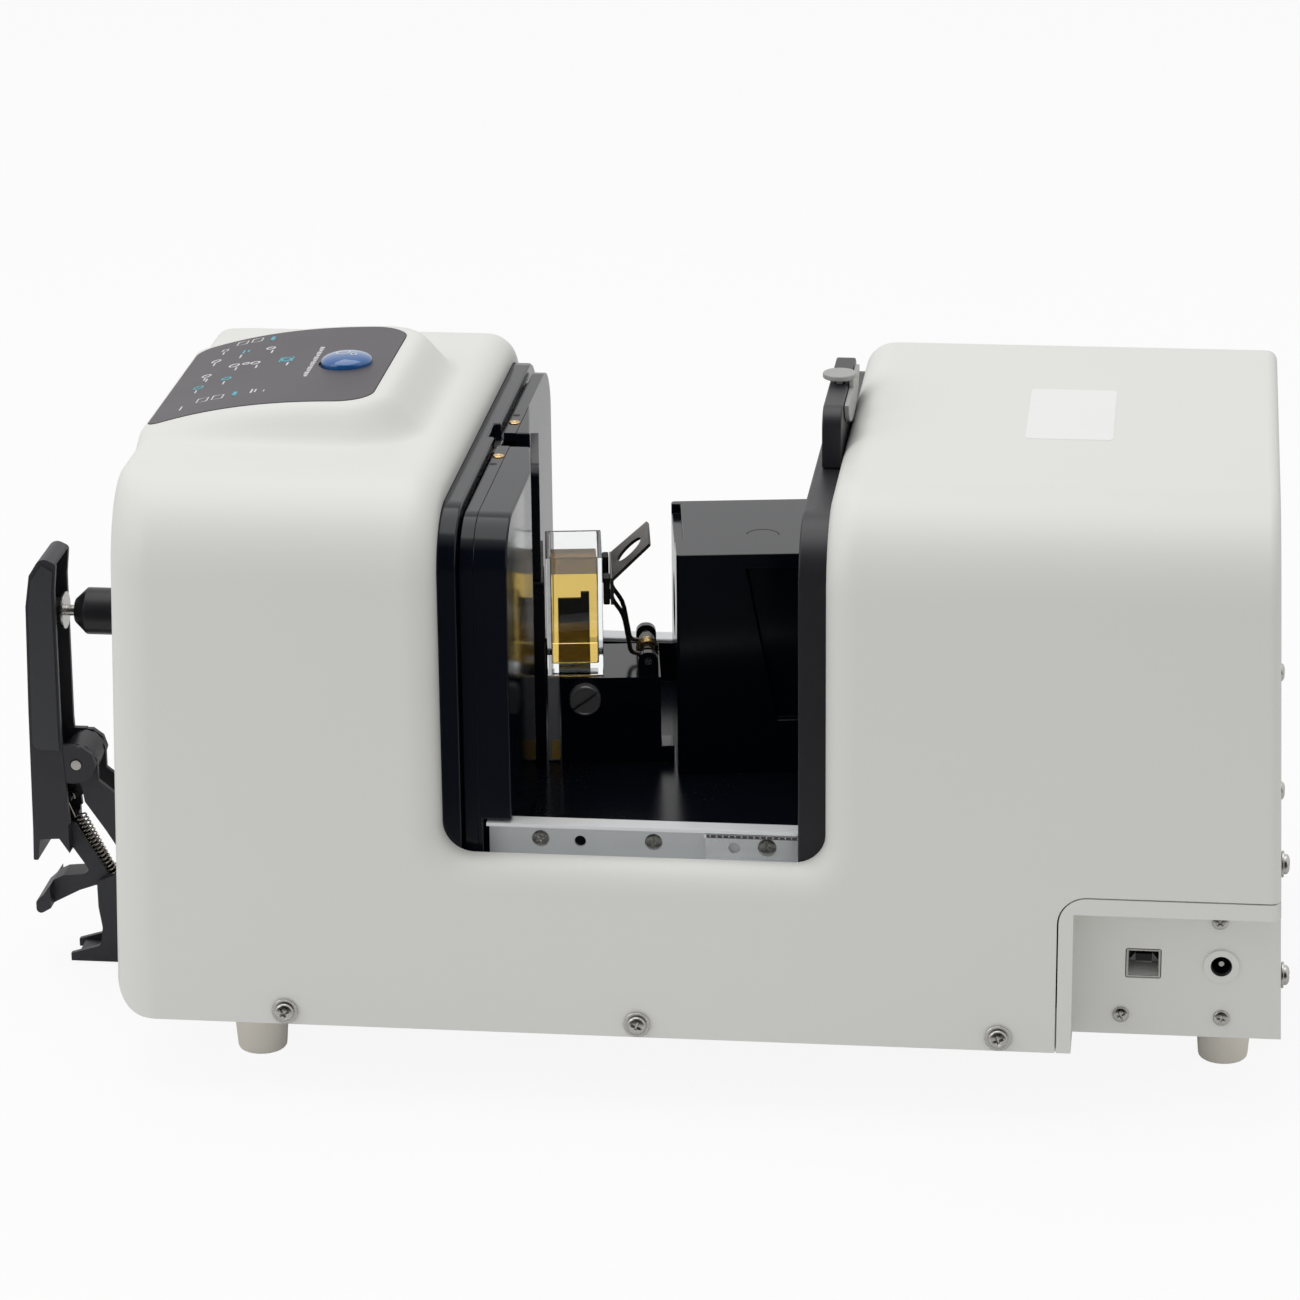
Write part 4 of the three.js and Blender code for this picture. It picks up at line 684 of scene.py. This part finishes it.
recess_face = -104
jack_place = (414, recess_face, 58)
collar = turned_form([(6.7, -0.1), (6.7, 0.8), (6.5, 1.0), (6.3, 1.0)], 48)
collar_dish = turned_form([(4.0, -2), (4.0, 0.45), (6.2, 1.05), (6.2, 2)], 48)
collar_back = turned_form([(6.05, -2), (6.05, 0.33)], 48)
jack_ring = carved(collar, [collar_dish, collar_back])
smoothed(jack_ring)
piece_of(seated(jack_ring, jack_place, (0, -1, 0)), "power_jack_ring", "base", white_paint)

# Base plate: zinc-plated sheet, folded up along both sides, which the chassis stands on. Four tapered
# feet of soft white rubber are pressed on below it.
zinc = finish_of(
    "zinc_plate", (0.74, 0.77, 0.79), (0.90, 0.91, 0.91), (0.32, 0.48), patch=45, fine=500, share=0.8,
    bump=0.08, Metallic=0.12,
)
white_rubber = finish_of(
    "white_rubber", (0.90, 0.85, 0.75), (0.94, 0.90, 0.81), (0.6, 0.75), patch=30, fine=900, bump=0.2,
)
dressed("base_plate", "base", zinc, edge=0.0003)
for foot in ("front_foot_near", "front_foot_far", "rear_foot_near", "rear_foot_far"):
    dressed(foot, "base", white_rubber, edge=0.0006, steps=3)

# Cover screws: pan-headed steel screws with a cross recess, each on a washer, three a side. Four more
# stand in the back, and three smaller ones hold the corner housing in its recess.
washer_thick = 1.0
washer_edge = 0.2
head_wall, head_dome = 0.3, 0.7
head_steps = 7
head_bend = 0.7
cross_long, cross_wide = 0.62, 0.15
cross_floor, cross_mouth = 0.35, 1.2
cross_taper, cross_flare = 0.5, 1.15


def pan_screw(head, rise, shank, length, washer=0.0):
    """A pan-headed screw with a cross recess, on its washer where it has one"""
    seat = washer_thick if washer else 0
    profile = [(0, -length), (shank, -length), (shank, 0)]
    if washer:
        rim = washer - washer_edge
        profile += [(rim, 0), (washer, washer_edge), (washer, seat - washer_edge), (rim, seat)]
    profile += [(head, seat), (head, seat + head_wall * rise)]
    for i in range(1, head_steps + 1):
        turn = math.pi / 2 * i / head_steps
        height = seat + rise * (head_wall + head_dome * math.sin(turn))
        profile.append((head * math.cos(turn) ** head_bend, height))
    tools = []
    for reach, width in ((cross_long * head, cross_wide * head), (cross_wide * head, cross_long * head)):
        levels = ((cross_taper, seat + cross_floor * rise), (cross_flare, seat + cross_mouth * rise))
        tools.append(lofted([[
            Vector((x * grow, y * grow, height))
            for x, y in ((-reach, -width), (reach, -width), (reach, width), (-reach, width))
        ] for grow, height in levels]))
    form = carved(turned_form(profile), tools)
    smoothed(form, 0.5)
    return form


cover_screw = pan_screw(3.8, 2.2, 1.9, 5.5, washer=5)
for i, x in enumerate(screw_places):
    for side, sign in (("near", -1), ("far", 1)):
        node = f"cover_screw_{side}_{i + 1}"
        screw = seated(cover_screw, (x, sign * (half_width + 0.3), screw_height), (0, sign, 0), 0.5 + 0.7 * i)
        piece_of(screw, f"{node}_turned", "base", nickel, node)
recess_screw = pan_screw(3.1, 1.5, 1.5, 3)
for i, (x, z) in enumerate(((377, 37), (414.5, 37), (413, 76))):
    screw = seated(recess_screw, (x, recess_face, z), (0, -1, 0), 0.4 + i)
    piece_of(screw, f"recess_screw_{i + 1}", "base", nickel)
for i, (y, z) in enumerate(((-104, 100), (-95, 51.5), (104, 100), (95, 51.5))):
    rear_face = body_rear - rear_lean * (z - body_foot) / (body_top - body_foot)
    screw = seated(cover_screw, (rear_face + 0.1, y, z), (1, 0, 0), 0.3 + i)
    piece_of(screw, f"rear_screw_{i + 1}", "base", nickel)

# Control panel: a thin printed sheet, dark warm grey and satin, on the ridge of the tower. The round
# blue measure button stands in it like a clear-topped lens.
panel_ink = finish_of(
    "panel_ink", (0.060, 0.054, 0.060), (0.078, 0.071, 0.078), (0.42, 0.52), patch=20, fine=1800, bump=0.1,
)
button_blue = finish_of(
    "button_blue", (0.005, 0.075, 0.27), (0.012, 0.13, 0.40), (0.06, 0.12), patch=90, fine=400, share=0.9,
    bump=0.02, Coat_Weight=0.8, Coat_Roughness=0.05,
)
sheet_proud, sheet_sunk = 0.2, 0.7
panel = carved(panel_sheet(sheet_proud, sheet_sunk, 0), [button_bore()])
smoothed(panel)
piece_of(panel, "control_panel_sheet", "base", panel_ink, "control_panel")
print_proud, print_sunk = 0.05, 0.15
ring_width, box_width = 0.85, 0.6
ring_sides = 20


def stroke(mesh, points, width, closed, height):
    """A printed line: a thin strip along points in plan, lying on a surface of this height"""
    count = len(points)
    rows = []
    for i, (x, y) in enumerate(points):
        before = points[i - 1] if closed or i else points[i]
        after = points[(i + 1) % count] if closed or i < count - 1 else points[i]
        along = Vector((after[0] - before[0], after[1] - before[1])).normalized() * width / 2
        rows.append([
            mesh.verts.new(spot(x - side * along.y, y + side * along.x, height(x, y) + lift))
            for side, lift in ((1, print_proud), (-1, print_proud), (-1, -print_sunk), (1, -print_sunk))
        ])
    for i in range(count if closed else count - 1):
        here, there = rows[i], rows[(i + 1) % count]
        for k in range(4):
            mesh.faces.new((here[k], there[k], there[(k + 1) % 4], here[(k + 1) % 4]))
    if not closed:
        mesh.faces.new(reversed(rows[0]))
        mesh.faces.new(rows[-1])


def ring_of(x, y, radius):
    """Points round a ring in plan"""
    return arc_points(ring_sides, (x, y), radius, 0, 2 * math.pi)[:-1]


def on_panel(x, y):
    """Height of the panel sheet's face"""
    return crest_at(x) + sheet_proud


def printed(rings, boxes, bars):
    """One colour of the panel's print: rings (x, y, radius), open boxes and bars (x, y, length, width)"""
    mesh = bmesh.new()
    for x, y, radius in rings:
        stroke(mesh, ring_of(x, y, radius), ring_width, True, on_panel)
    for x, y, long, wide in boxes:
        stroke(mesh, [
            (x - wide / 2, y - long / 2), (x + wide / 2, y - long / 2), (x + wide / 2, y + long / 2),
            (x - wide / 2, y + long / 2),
        ], box_width, True, on_panel)
    for x, y, long, wide in bars:
        stroke(mesh, [(x, y - long / 2), (x, y + long / 2)], wide, False, on_panel)
    bmesh.ops.recalc_face_normals(mesh, faces=mesh.faces)
    return mesh


print_white = finish_of(
    "print_white", (0.62, 0.62, 0.62), (0.74, 0.74, 0.74), (0.4, 0.5), patch=60, bump=0.05,
)
print_teal = finish_of(
    "print_teal", (0.05, 0.36, 0.46), (0.08, 0.46, 0.56), (0.4, 0.5), patch=60, bump=0.05,
)
white_rings = (
    (14.4, 24.7, 1.7), (14.7, 4, 1.7), (24.3, 11.2, 1.9), (33, 9.8, 1.7), (35.6, 29, 1.6), (29, 11, 1.2),
)
white_boxes = (
    (20.5, -33, 5, 4), (26.5, -33, 5, 4), (21, 45.2, 4.5, 4), (27, 45.2, 4.5, 4), (15, 39.5, 2.6, 2.2),
)
white_bars = (
    (14.4, 20.2, 4, 0.7), (16, -3, 4, 0.7), (14.7, -0.5, 3.6, 0.7), (26, 5.5, 4, 0.7), (24.3, 24, 4.5, 0.7),
    (34.5, 3.8, 4, 0.7), (37, 23.5, 4, 0.7), (39.5, -31.8, 5, 0.7), (41, -31.8, 4, 0.6),
    (13.2, -38.5, 5, 0.7), (24.8, -13, 4, 0.7), (14.7, -17.5, 3.6, 0.7), (15.2, 35, 3.4, 0.7),
    (47, 2.5, 4, 0.7), (44.5, -33, 2.4, 0.4),
)
caption_place, caption_start, caption_step = 57.6, -16.5, 2.3
caption = tuple(
    (caption_place, caption_start + caption_step * i, 1.5, 2.0 if i % 3 else 1.3) for i in range(18)
)
print_white_mesh = printed(white_rings, white_boxes, white_bars + caption)
piece_of(print_white_mesh, "panel_print_white", "base", print_white)
print_teal_mesh = printed(
    ((45.5, 9, 1.9), (14.7, -12, 1.8), (24.8, -7, 1.7)), ((45.5, 9, 6, 5),),
    ((34, 43.6, 5, 2.2), (33.4, -32.4, 5, 2.2), (24.5, 30, 4.5, 1.0), (26.4, 30, 3.0, 0.8)),
)
piece_of(print_teal_mesh, "panel_print_teal", "base", print_teal)

dome_foot, dome_rise = 1.2, 3.2
dome_steps = 12
button_profile = [(0, -6.9), (button_radius - 0.4, -6.9), (button_radius, -6.4), (button_radius, 0.9)]
for i in range(dome_steps + 1):
    turn = math.pi / 2 * i / dome_steps
    button_profile.append((button_radius * math.cos(turn), dome_foot + dome_rise * math.sin(turn)))
button_seat = (button_place, 0, crest_at(button_place))
button = seated(turned_form(button_profile, 64), button_seat, button_axis)
smoothed(button)
piece_of(button, "measure_button_lens", "button", button_blue, "measure_button")


def on_button(x, y):
    """Height of the button's dome, which leans with the ridge"""
    off = min(math.hypot(x - button_place, y) / button_radius, 1)
    dome = dome_foot + dome_rise * math.sqrt(1 - off * off)
    return crest_at(button_place) + dome - button_axis[0] * (x - button_place)


button_mark = bmesh.new()
for off, y, radius, width in ((-1.4, 0.6, 2.6, 0.55), (3.0, -1.4, 1.1, 0.5)):
    stroke(button_mark, ring_of(button_place + off, y, radius), width, True, on_button)
bmesh.ops.recalc_face_normals(button_mark, faces=button_mark.faces)
piece_of(button_mark, "measure_button_mark", "button", print_white)

# Switch carrier: a plain black moulding under the panel that holds the switch below the measure
# button. It doesn't show from outside.
dressed("switch_carrier", "base", black_moulding)

# Specimen port: a turned black mask in the tower's front face, round the hole that the specimen is
# pressed against. It is matt, so that it adds no light of its own.
matt_black = finish_of(
    "matt_black", (0.010, 0.010, 0.012), (0.018, 0.018, 0.02), (0.5, 0.62), patch=30, fine=1500, bump=0.2,
    Specular_IOR_Level=0.3,
)
dressed("target_mask", "base", matt_black, edge=0.0003)

# Sphere housing: the deep glossy blue-black block at the front of the chamber, with a groove round it,
# a pocket for the latch in its top and two brass stops. The chassis channel below it is duller black.
gloss_black = finish_of(
    "gloss_black", (0.0028, 0.0038, 0.0075), (0.0042, 0.0056, 0.0105), (0.1, 0.18), patch=18, fine=700,
    bump=0.03, Specular_IOR_Level=0.35,
)
dull_black = finish_of(
    "dull_black", (0.0028, 0.0036, 0.0068), (0.0042, 0.0054, 0.0095), (0.2, 0.3), patch=18, fine=900,
    bump=0.04, Specular_IOR_Level=0.26,
)
satin_black = finish_of(
    "satin_black", (0.014, 0.014, 0.017), (0.021, 0.021, 0.025), (0.34, 0.46), patch=22, fine=1300, bump=0.14,
    Specular_IOR_Level=0.5,
)
dressed("sphere_housing", "base", gloss_black, edge=0.0016, steps=4)
brass = finish_of(
    "brass_plate", (0.55, 0.36, 0.14), (0.75, 0.52, 0.24), (0.2, 0.32), patch=90, fine=900, Metallic=1.0,
)
block_top = 224.5
block_foot = 92
block_half = 108.5
block_round = 19.5
step_front, step_rear = 130.6, 135.3
pocket_front, pocket_rear, pocket_half, pocket_floor = 120, 150, 8.5, 213.5
near_side = [(-block_half, block_foot)]
for i in range(11):
    turn = math.pi / 2 * i / 10
    near_side.append((-corner_y - block_round * math.cos(turn), corner_z + block_round * math.sin(turn)))
block_section = near_side + [(-y, z) for y, z in reversed(near_side)]
pocket = [
    (pocket_front, -pocket_half), (pocket_rear, -pocket_half), (pocket_rear, pocket_half),
    (pocket_front, pocket_half),
]
step_form = lofted([[spot(x, y, z) for y, z in block_section] for x in (step_front, step_rear)])
front_step = carved(step_form, [upright(pocket, pocket_floor, body_top)])
smoothed(front_step)
piece_of(front_step, "sphere_housing_step", "base", gloss_black)
# Painted shade: two flat matt black discs on the step's top stand for the dark of two small hollows, which
# are not cut.
dimple_shade_disc = turned_form([(1.5, -0.2), (1.5, 0.02), (1.3, 0.05)], 24)
smoothed(dimple_shade_disc)
for name, y in (("near", -32), ("far", 32)):
    piece_of(
        seated(dimple_shade_disc, (132.3, y, block_top), (0, 0, 1)), f"housing_dimple_{name}", "base", matt_black,
    )
stop = turned_form([(2.2, -1), (2.2, 0.25), (1.9, 0.5), (0.9, 0.5), (0.7, 0.35), (0, 0.35)], 32)
smoothed(stop, 0.5)
for name, y in (("near", -22), ("far", 22)):
    piece_of(seated(stop, (132.9, y, block_top), (0, 0, 1)), f"cover_stop_{name}", "base", brass)
dressed("chassis_channel", "base", dull_black, edge=0.0003)

# Ball slides: three rolled channels of zinc-plated steel a side, one running in the other on balls in
# their cages. Flat screws hold the outer ones to the chassis.
for side in ("near", "far"):
    dressed(f"slide_outer_{side}", "base", zinc, edge=0.0003)
    dressed(f"slide_middle_{side}", f"slide_{side}", zinc, edge=0.0003)
    dressed(f"slide_inner_{side}", "cover", zinc, edge=0.0003)
cage_steel = finish_of(
    "cage_steel", (0.10, 0.10, 0.11), (0.2, 0.2, 0.21), (0.3, 0.45), patch=90, fine=900, Metallic=0.8,
)
ball_radius = 0.5
ball_start, ball_pitch, ball_count = 223, 2.35, 17
ball_rows = (("foot", 94.3), ("top", 105.4))
ball_line = 108.9
cage_front, cage_rear, cage_half = 221.5, 262, 0.6
cage_in, cage_out = 108.7, 109.05
ball_arc = [math.pi * i / 8 for i in range(8, -1, -1)]
ball = turned_form([(ball_radius * math.sin(turn), ball_radius * math.cos(turn)) for turn in ball_arc], 12)
for side, sign in (("near", -1), ("far", 1)):
    balls = bmesh.new()
    for row, z in ball_rows:
        cage = crosswise([
            (cage_front, z - cage_half), (cage_rear, z - cage_half), (cage_rear, z + cage_half),
            (cage_front, z + cage_half),
        ], *sorted((sign * cage_in, sign * cage_out)))
        piece_of(cage, f"ball_cage_{side}_{row}", f"slide_{side}", cage_steel)
        for i in range(ball_count):
            single = seated(ball, (ball_start + ball_pitch * i, sign * ball_line, z), (0, 0, 1))
            data = bpy.data.meshes.new("ball")
            single.to_mesh(data)
            single.free()
            balls.from_mesh(data)
            bpy.data.meshes.remove(data)
    smoothed(balls, 1.0)
    piece_of(balls, f"slide_balls_{side}", f"slide_{side}", nickel)
flush_screw = pan_screw(3.3, 0.35, 1.5, 2)
flat_screw = pan_screw(3.5, 0.5, 1.5, 2)
slide_screws = (
    (flush_screw, 158, 102.2, 0.5, "base"), (flush_screw, 200.8, 102.2, 1.5, "base"),
    (flat_screw, 243.8, 104.1, 0.2, None),
)
slide_screw_height = 99.6
for side, sign in (("near", -1), ("far", 1)):
    for i, (screw, x, y, turn, body) in enumerate(slide_screws):
        piece_of(
            seated(screw, (x, sign * y, slide_screw_height), (0, sign, 0), turn),
            f"slide_screw_{side}_{i + 1}", body or f"slide_{side}", nickel,
        )

# Chamber cover: a black arch that runs under the rear housing, and its handle plate with a thumb
# button in light grey.
dressed("chamber_cover", "cover", satin_black, edge=0.0008, steps=3)
dressed("cover_handle", "cover", satin_black, edge=0.0006, steps=3)
grey_moulding = finish_of(
    "grey_moulding", (0.36, 0.36, 0.35), (0.42, 0.42, 0.41), (0.4, 0.5), patch=30, fine=1100, bump=0.12,
)
dressed("latch_button", "latch", grey_moulding, edge=0.0003)
dressed("latch_keeper", "base", nickel, edge=0.0002)

# Receiver housing: the glossy black box that takes the light behind the cell, with its lens. A half
# ring moulded in its top marks where the thumb goes.
dressed("receiver_housing", "base", gloss_black, edge=0.0005)
thumb_mark = bmesh.new()
receiver_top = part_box("receiver_housing")[1][2] / mm
mark_place, mark_radius, mark_width = (230.7, 22), 6.4, 0.5
mark_line = arc_points(20, mark_place, mark_radius, 0, math.pi)
stroke(thumb_mark, mark_line, mark_width, False, lambda x, y: receiver_top)
bmesh.ops.recalc_face_normals(thumb_mark, faces=thumb_mark.faces)
piece_of(thumb_mark, "receiver_thumb_mark", "base", matt_black)
lens_glass = finish_of(
    "lens_glass", (0.5, 0.6, 0.64), (0.55, 0.66, 0.7), (0.04, 0.08), patch=30, fine=300, bump=0.01,
    Transmission_Weight=0.6, IOR=1.5,
)
dressed("receiver_lens", "base", lens_glass, edge=0)

# Port plate and window plate: flat plates in dull black that lie on the housing's turned face, round
# the hole that the light leaves by.
dressed("port_plate", "base", dull_black, edge=0.0005)
dressed("port_window_plate", "base", dull_black, edge=0.0005)

# Cell stage: the light rail against the port plate, the bracket and the stage that the cell stands on.
# They lie turned by eight degrees about the specimen port, as all the optics do.
optic_turn = math.radians(8)


def optic(x, y, z):
    """A place in the body for one given along the optics"""
    cos, sin = math.cos(optic_turn), math.sin(optic_turn)
    return Vector((x * cos - y * sin, x * sin + y * cos, z))


rail_grey = finish_of(
    "rail_grey", (0.24, 0.24, 0.27), (0.3, 0.3, 0.33), (0.34, 0.46), patch=30, fine=900, bump=0.1,
    Metallic=0.2,
)
dressed("stage_rail", "base", rail_grey, edge=0.0004)
shim_plan = [optic(x, y, 0)[:2] for x, y in ((147, -18.35), (150.4, -18.35), (150.4, -18), (147, -18))]
gilt_sheet = finish_of(
    "gilt_sheet", (0.42, 0.27, 0.07), (0.62, 0.43, 0.14), (0.3, 0.45), patch=60, fine=700, Metallic=0.35,
)
piece_of(upright(shim_plan, 91, 99), "stage_rail_shim", "base", gilt_sheet)
dressed("holder_bracket", "base", gloss_black, edge=0.0004)
dressed("cell_stage", "base", gloss_black, edge=0.0004)
dressed("clip_pin", "base", nickel, edge=0.0002)
black_turned = finish_of(
    "black_turned", (0.14, 0.14, 0.15), (0.26, 0.26, 0.27), (0.3, 0.42), patch=80, fine=1200, bump=0.1,
    Metallic=0.45,
)
slot_reach, slot_half, slot_floor = 7, 0.7, 2.2
knob_form = turned_form([
    (0, 0), (5.8, 0), (6.2, 0.4), (6.2, 4.3), (5.9, 4.8), (5.3, 5.0), (5.1, 4.8), (0, 4.8),
], 48)
slot = lofted([[
    Vector((x * slot_reach, y * slot_half, height)) for x, y in ((-1, -1), (1, -1), (1, 1), (-1, 1))
] for height in (slot_floor, 6)])
knob = carved(knob_form, [slot])
smoothed(knob, 0.5)
knob_axis = optic(0, -1, 0)
knob_seat = optic(160.5, -20.3, 117.8)
piece_of(
    seated(knob, knob_seat, knob_axis, 0.75), "holder_knob_turned", "knob", black_turned,
    "holder_knob",
)

# Backstop: a thin black blade on the stage behind the cell, with a taller tab, which the cell is pushed
# against.
blade = [(150.5, 126), (163, 126), (163, 151.6), (159.6, 151.6), (159.6, 149), (150.5, 149)]
blade_near, blade_far = 18.4, 19.6
backstop = lofted([[spot(*optic(x, y, z)) for x, z in blade] for y in (blade_near, blade_far)])
smoothed(backstop, 0.5)
piece_of(backstop, "cell_backstop", "base", gloss_black)

# Cell: a square glass cell, fused from polished plates and open at the top, with amber liquid in it.
# It stands loose in its stage and lifts out.
cell_glass = finish_of(
    "cell_glass", (0.93, 0.95, 0.95), (0.97, 0.98, 0.98), (0.0, 0.02), patch=10, fine=60, bump=0.0,
    Transmission_Weight=1.0, IOR=1.47,
)
amber = finish_of(
    "amber_liquid", (0.86, 0.6, 0.17), (0.9, 0.64, 0.2), (0.0, 0.01), patch=10, fine=60, bump=0.0,
    Transmission_Weight=1.0, IOR=1.33,
)
dressed("glass_cell", "cell", cell_glass, edge=0.0005)
dressed("cell_liquid", "cell", amber, edge=0.0005)

# Spring clip: a bronzed steel bar and thumb tab on two bent wires, with two rubber fingers that hold
# the cell, and a small torsion spring on the pin.
bronzed = finish_of(
    "bronzed_steel", (0.06, 0.052, 0.048), (0.13, 0.115, 0.1), (0.25, 0.38), patch=70, fine=900, bump=0.08,
    Metallic=0.85,
)
rubber = finish_of(
    "black_rubber", (0.008, 0.008, 0.008), (0.014, 0.014, 0.014), (0.55, 0.7), patch=50, fine=1500, bump=0.25,
    Specular_IOR_Level=0.3,
)
dressed("cell_clip", "clip", bronzed, edge=0)
for side in ("near", "far"):
    dressed(f"clip_pad_{side}", "clip", rubber, edge=0.0003)


def wound_wire(points, radius, sides=12):
    """A round wire along points in millimetres of the body"""
    rings = []
    across = Vector((0, 1, 0))
    for i, point in enumerate(points):
        along = (points[min(i + 1, len(points) - 1)] - points[max(i - 1, 0)]).normalized()
        across = across - along * across.dot(along)
        if across.length < 0.1:
            across = along.orthogonal()
        across.normalize()
        up = along.cross(across)
        rings.append([
            spot(*(point + (across * math.cos(turn) + up * math.sin(turn)) * radius))
            for turn in (2 * math.pi * k / sides for k in range(sides))
        ])
    return lofted(rings)


clip_pivot = 185.7
clip_height = 131.3
clip_curls, clip_curl_radius, clip_pitch, clip_wire = 4, 4, 1.5, 0.5
curl_steps = 24
coil_points = [optic(clip_pivot + clip_curl_radius, 0.4, clip_height - reach) for reach in (4.0, 2.0)]
for i in range(clip_curls * curl_steps + 1):
    turn = 2 * math.pi * i / curl_steps
    coil_points.append(optic(
        clip_pivot + clip_curl_radius * math.cos(turn), -clip_pitch * i / curl_steps,
        clip_height + clip_curl_radius * math.sin(turn),
    ))
clip_coil = wound_wire(coil_points, clip_wire)
smoothed(clip_coil, 1.0)
piece_of(clip_coil, "clip_spring_wound", "base", brass, "clip_spring")

# Specimen holder: a bracket on the front face, a bell-crank arm on its pin, a wound tension spring
# and a round pad on a short stem that presses the specimen against the port.
charcoal = finish_of(
    "charcoal_moulding", (0.020, 0.020, 0.026), (0.028, 0.028, 0.034), (0.4, 0.52), patch=24, fine=1500,
    bump=0.16, Specular_IOR_Level=0.5,
)
spring_steel = finish_of(
    "spring_steel", (0.50, 0.45, 0.38), (0.74, 0.69, 0.62), (0.18, 0.3), patch=120, fine=800, Metallic=1.0,
)
dressed("arm_bracket", "base", charcoal, edge=0.0004)
dressed("specimen_arm", "arm", charcoal, edge=0.0005)
panel_side = arc_points(6, (-55.8, 97.2), 3.4, math.pi, math.pi / 2) + [
    (-48.2, 93.6), (-48.4, 100), (-48, 160), (-47.2, 169), (-51.6, 171.6), (-56, 165.4), (-57.8, 154),
]
inlay_grey = finish_of(
    "inlay_grey", (0.034, 0.035, 0.042), (0.044, 0.045, 0.053), (0.36, 0.46), patch=24, fine=1500, bump=0.12,
)
inlay_edge = 0.0004
for name, low, high in (("near", -12.6, -11.9), ("far", 11.9, 12.6)):
    inlay = crosswise(panel_side, low, high)
    bevelled(inlay, list(inlay.edges), inlay_edge, 2)
    smoothed(inlay)
    piece_of(inlay, f"specimen_arm_inlay_{name}", "arm", inlay_grey)
dressed("arm_pin", "base", nickel, edge=0.0002)
hook_place = Vector((-48, 0, 69))
anchor_place = Vector((-27.4, 0, 27))
spring_line = (anchor_place - hook_place).normalized()
spring_length = (anchor_place - hook_place).length
spring_curls, spring_radius, spring_pitch, spring_wire = 17, 2.4, 1.75, 0.35
hook_radius = 1.75
hook_arc, hook_start = 0.625, 0.375
spring_lead = (spring_length - spring_pitch * spring_curls) / 2
hook_arcs = [2 * math.pi * (hook_arc * i / curl_steps - hook_start) for i in range(curl_steps + 1)]
spring_points = [(hook_radius * math.sin(turn), 0, -hook_radius * math.cos(turn)) for turn in hook_arcs]
for i in range(spring_curls * curl_steps + 1):
    turn = 2 * math.pi * i / curl_steps
    along = spring_lead + spring_pitch * i / curl_steps
    spring_points.append((spring_radius * math.cos(turn), spring_radius * math.sin(turn), along))
for turn in reversed(hook_arcs):
    spring_points.append((hook_radius * math.sin(turn), 0, spring_length + hook_radius * math.cos(turn)))
spring_turn = Vector((0, 0, 1)).rotation_difference(spring_line)
arm_coil = wound_wire([hook_place + spring_turn @ Vector(point) for point in spring_points], spring_wire)
smoothed(arm_coil, 1.0)
arm_spring = piece_of(arm_coil, "arm_spring_wound", None, spring_steel, "arm_spring")
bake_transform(arm_spring)
dressed("pad_stem", "arm", nickel, edge=0.0002)
dressed("specimen_pad", "arm", black_moulding, edge=0.0004)

# Inside: the white integrating sphere, its lamp unit, the spectrometer and the main board. They stand
# under the main cover and show little or not at all.
barium_white = finish_of(
    "barium_white", (0.8, 0.8, 0.79), (0.84, 0.84, 0.83), (0.7, 0.8), patch=20, fine=800, bump=0.2,
)
board_green = finish_of(
    "board_green", (0.012, 0.09, 0.03), (0.02, 0.13, 0.05), (0.3, 0.42), patch=60, fine=500, bump=0.15,
)
dressed("integrating_sphere", "base", barium_white, edge=0)
dressed("lamp_unit", "base", zinc, edge=0.0005)
dressed("spectrometer", "base", satin_black, edge=0.0005)
dressed("main_board", "base", board_green, edge=0.0002)
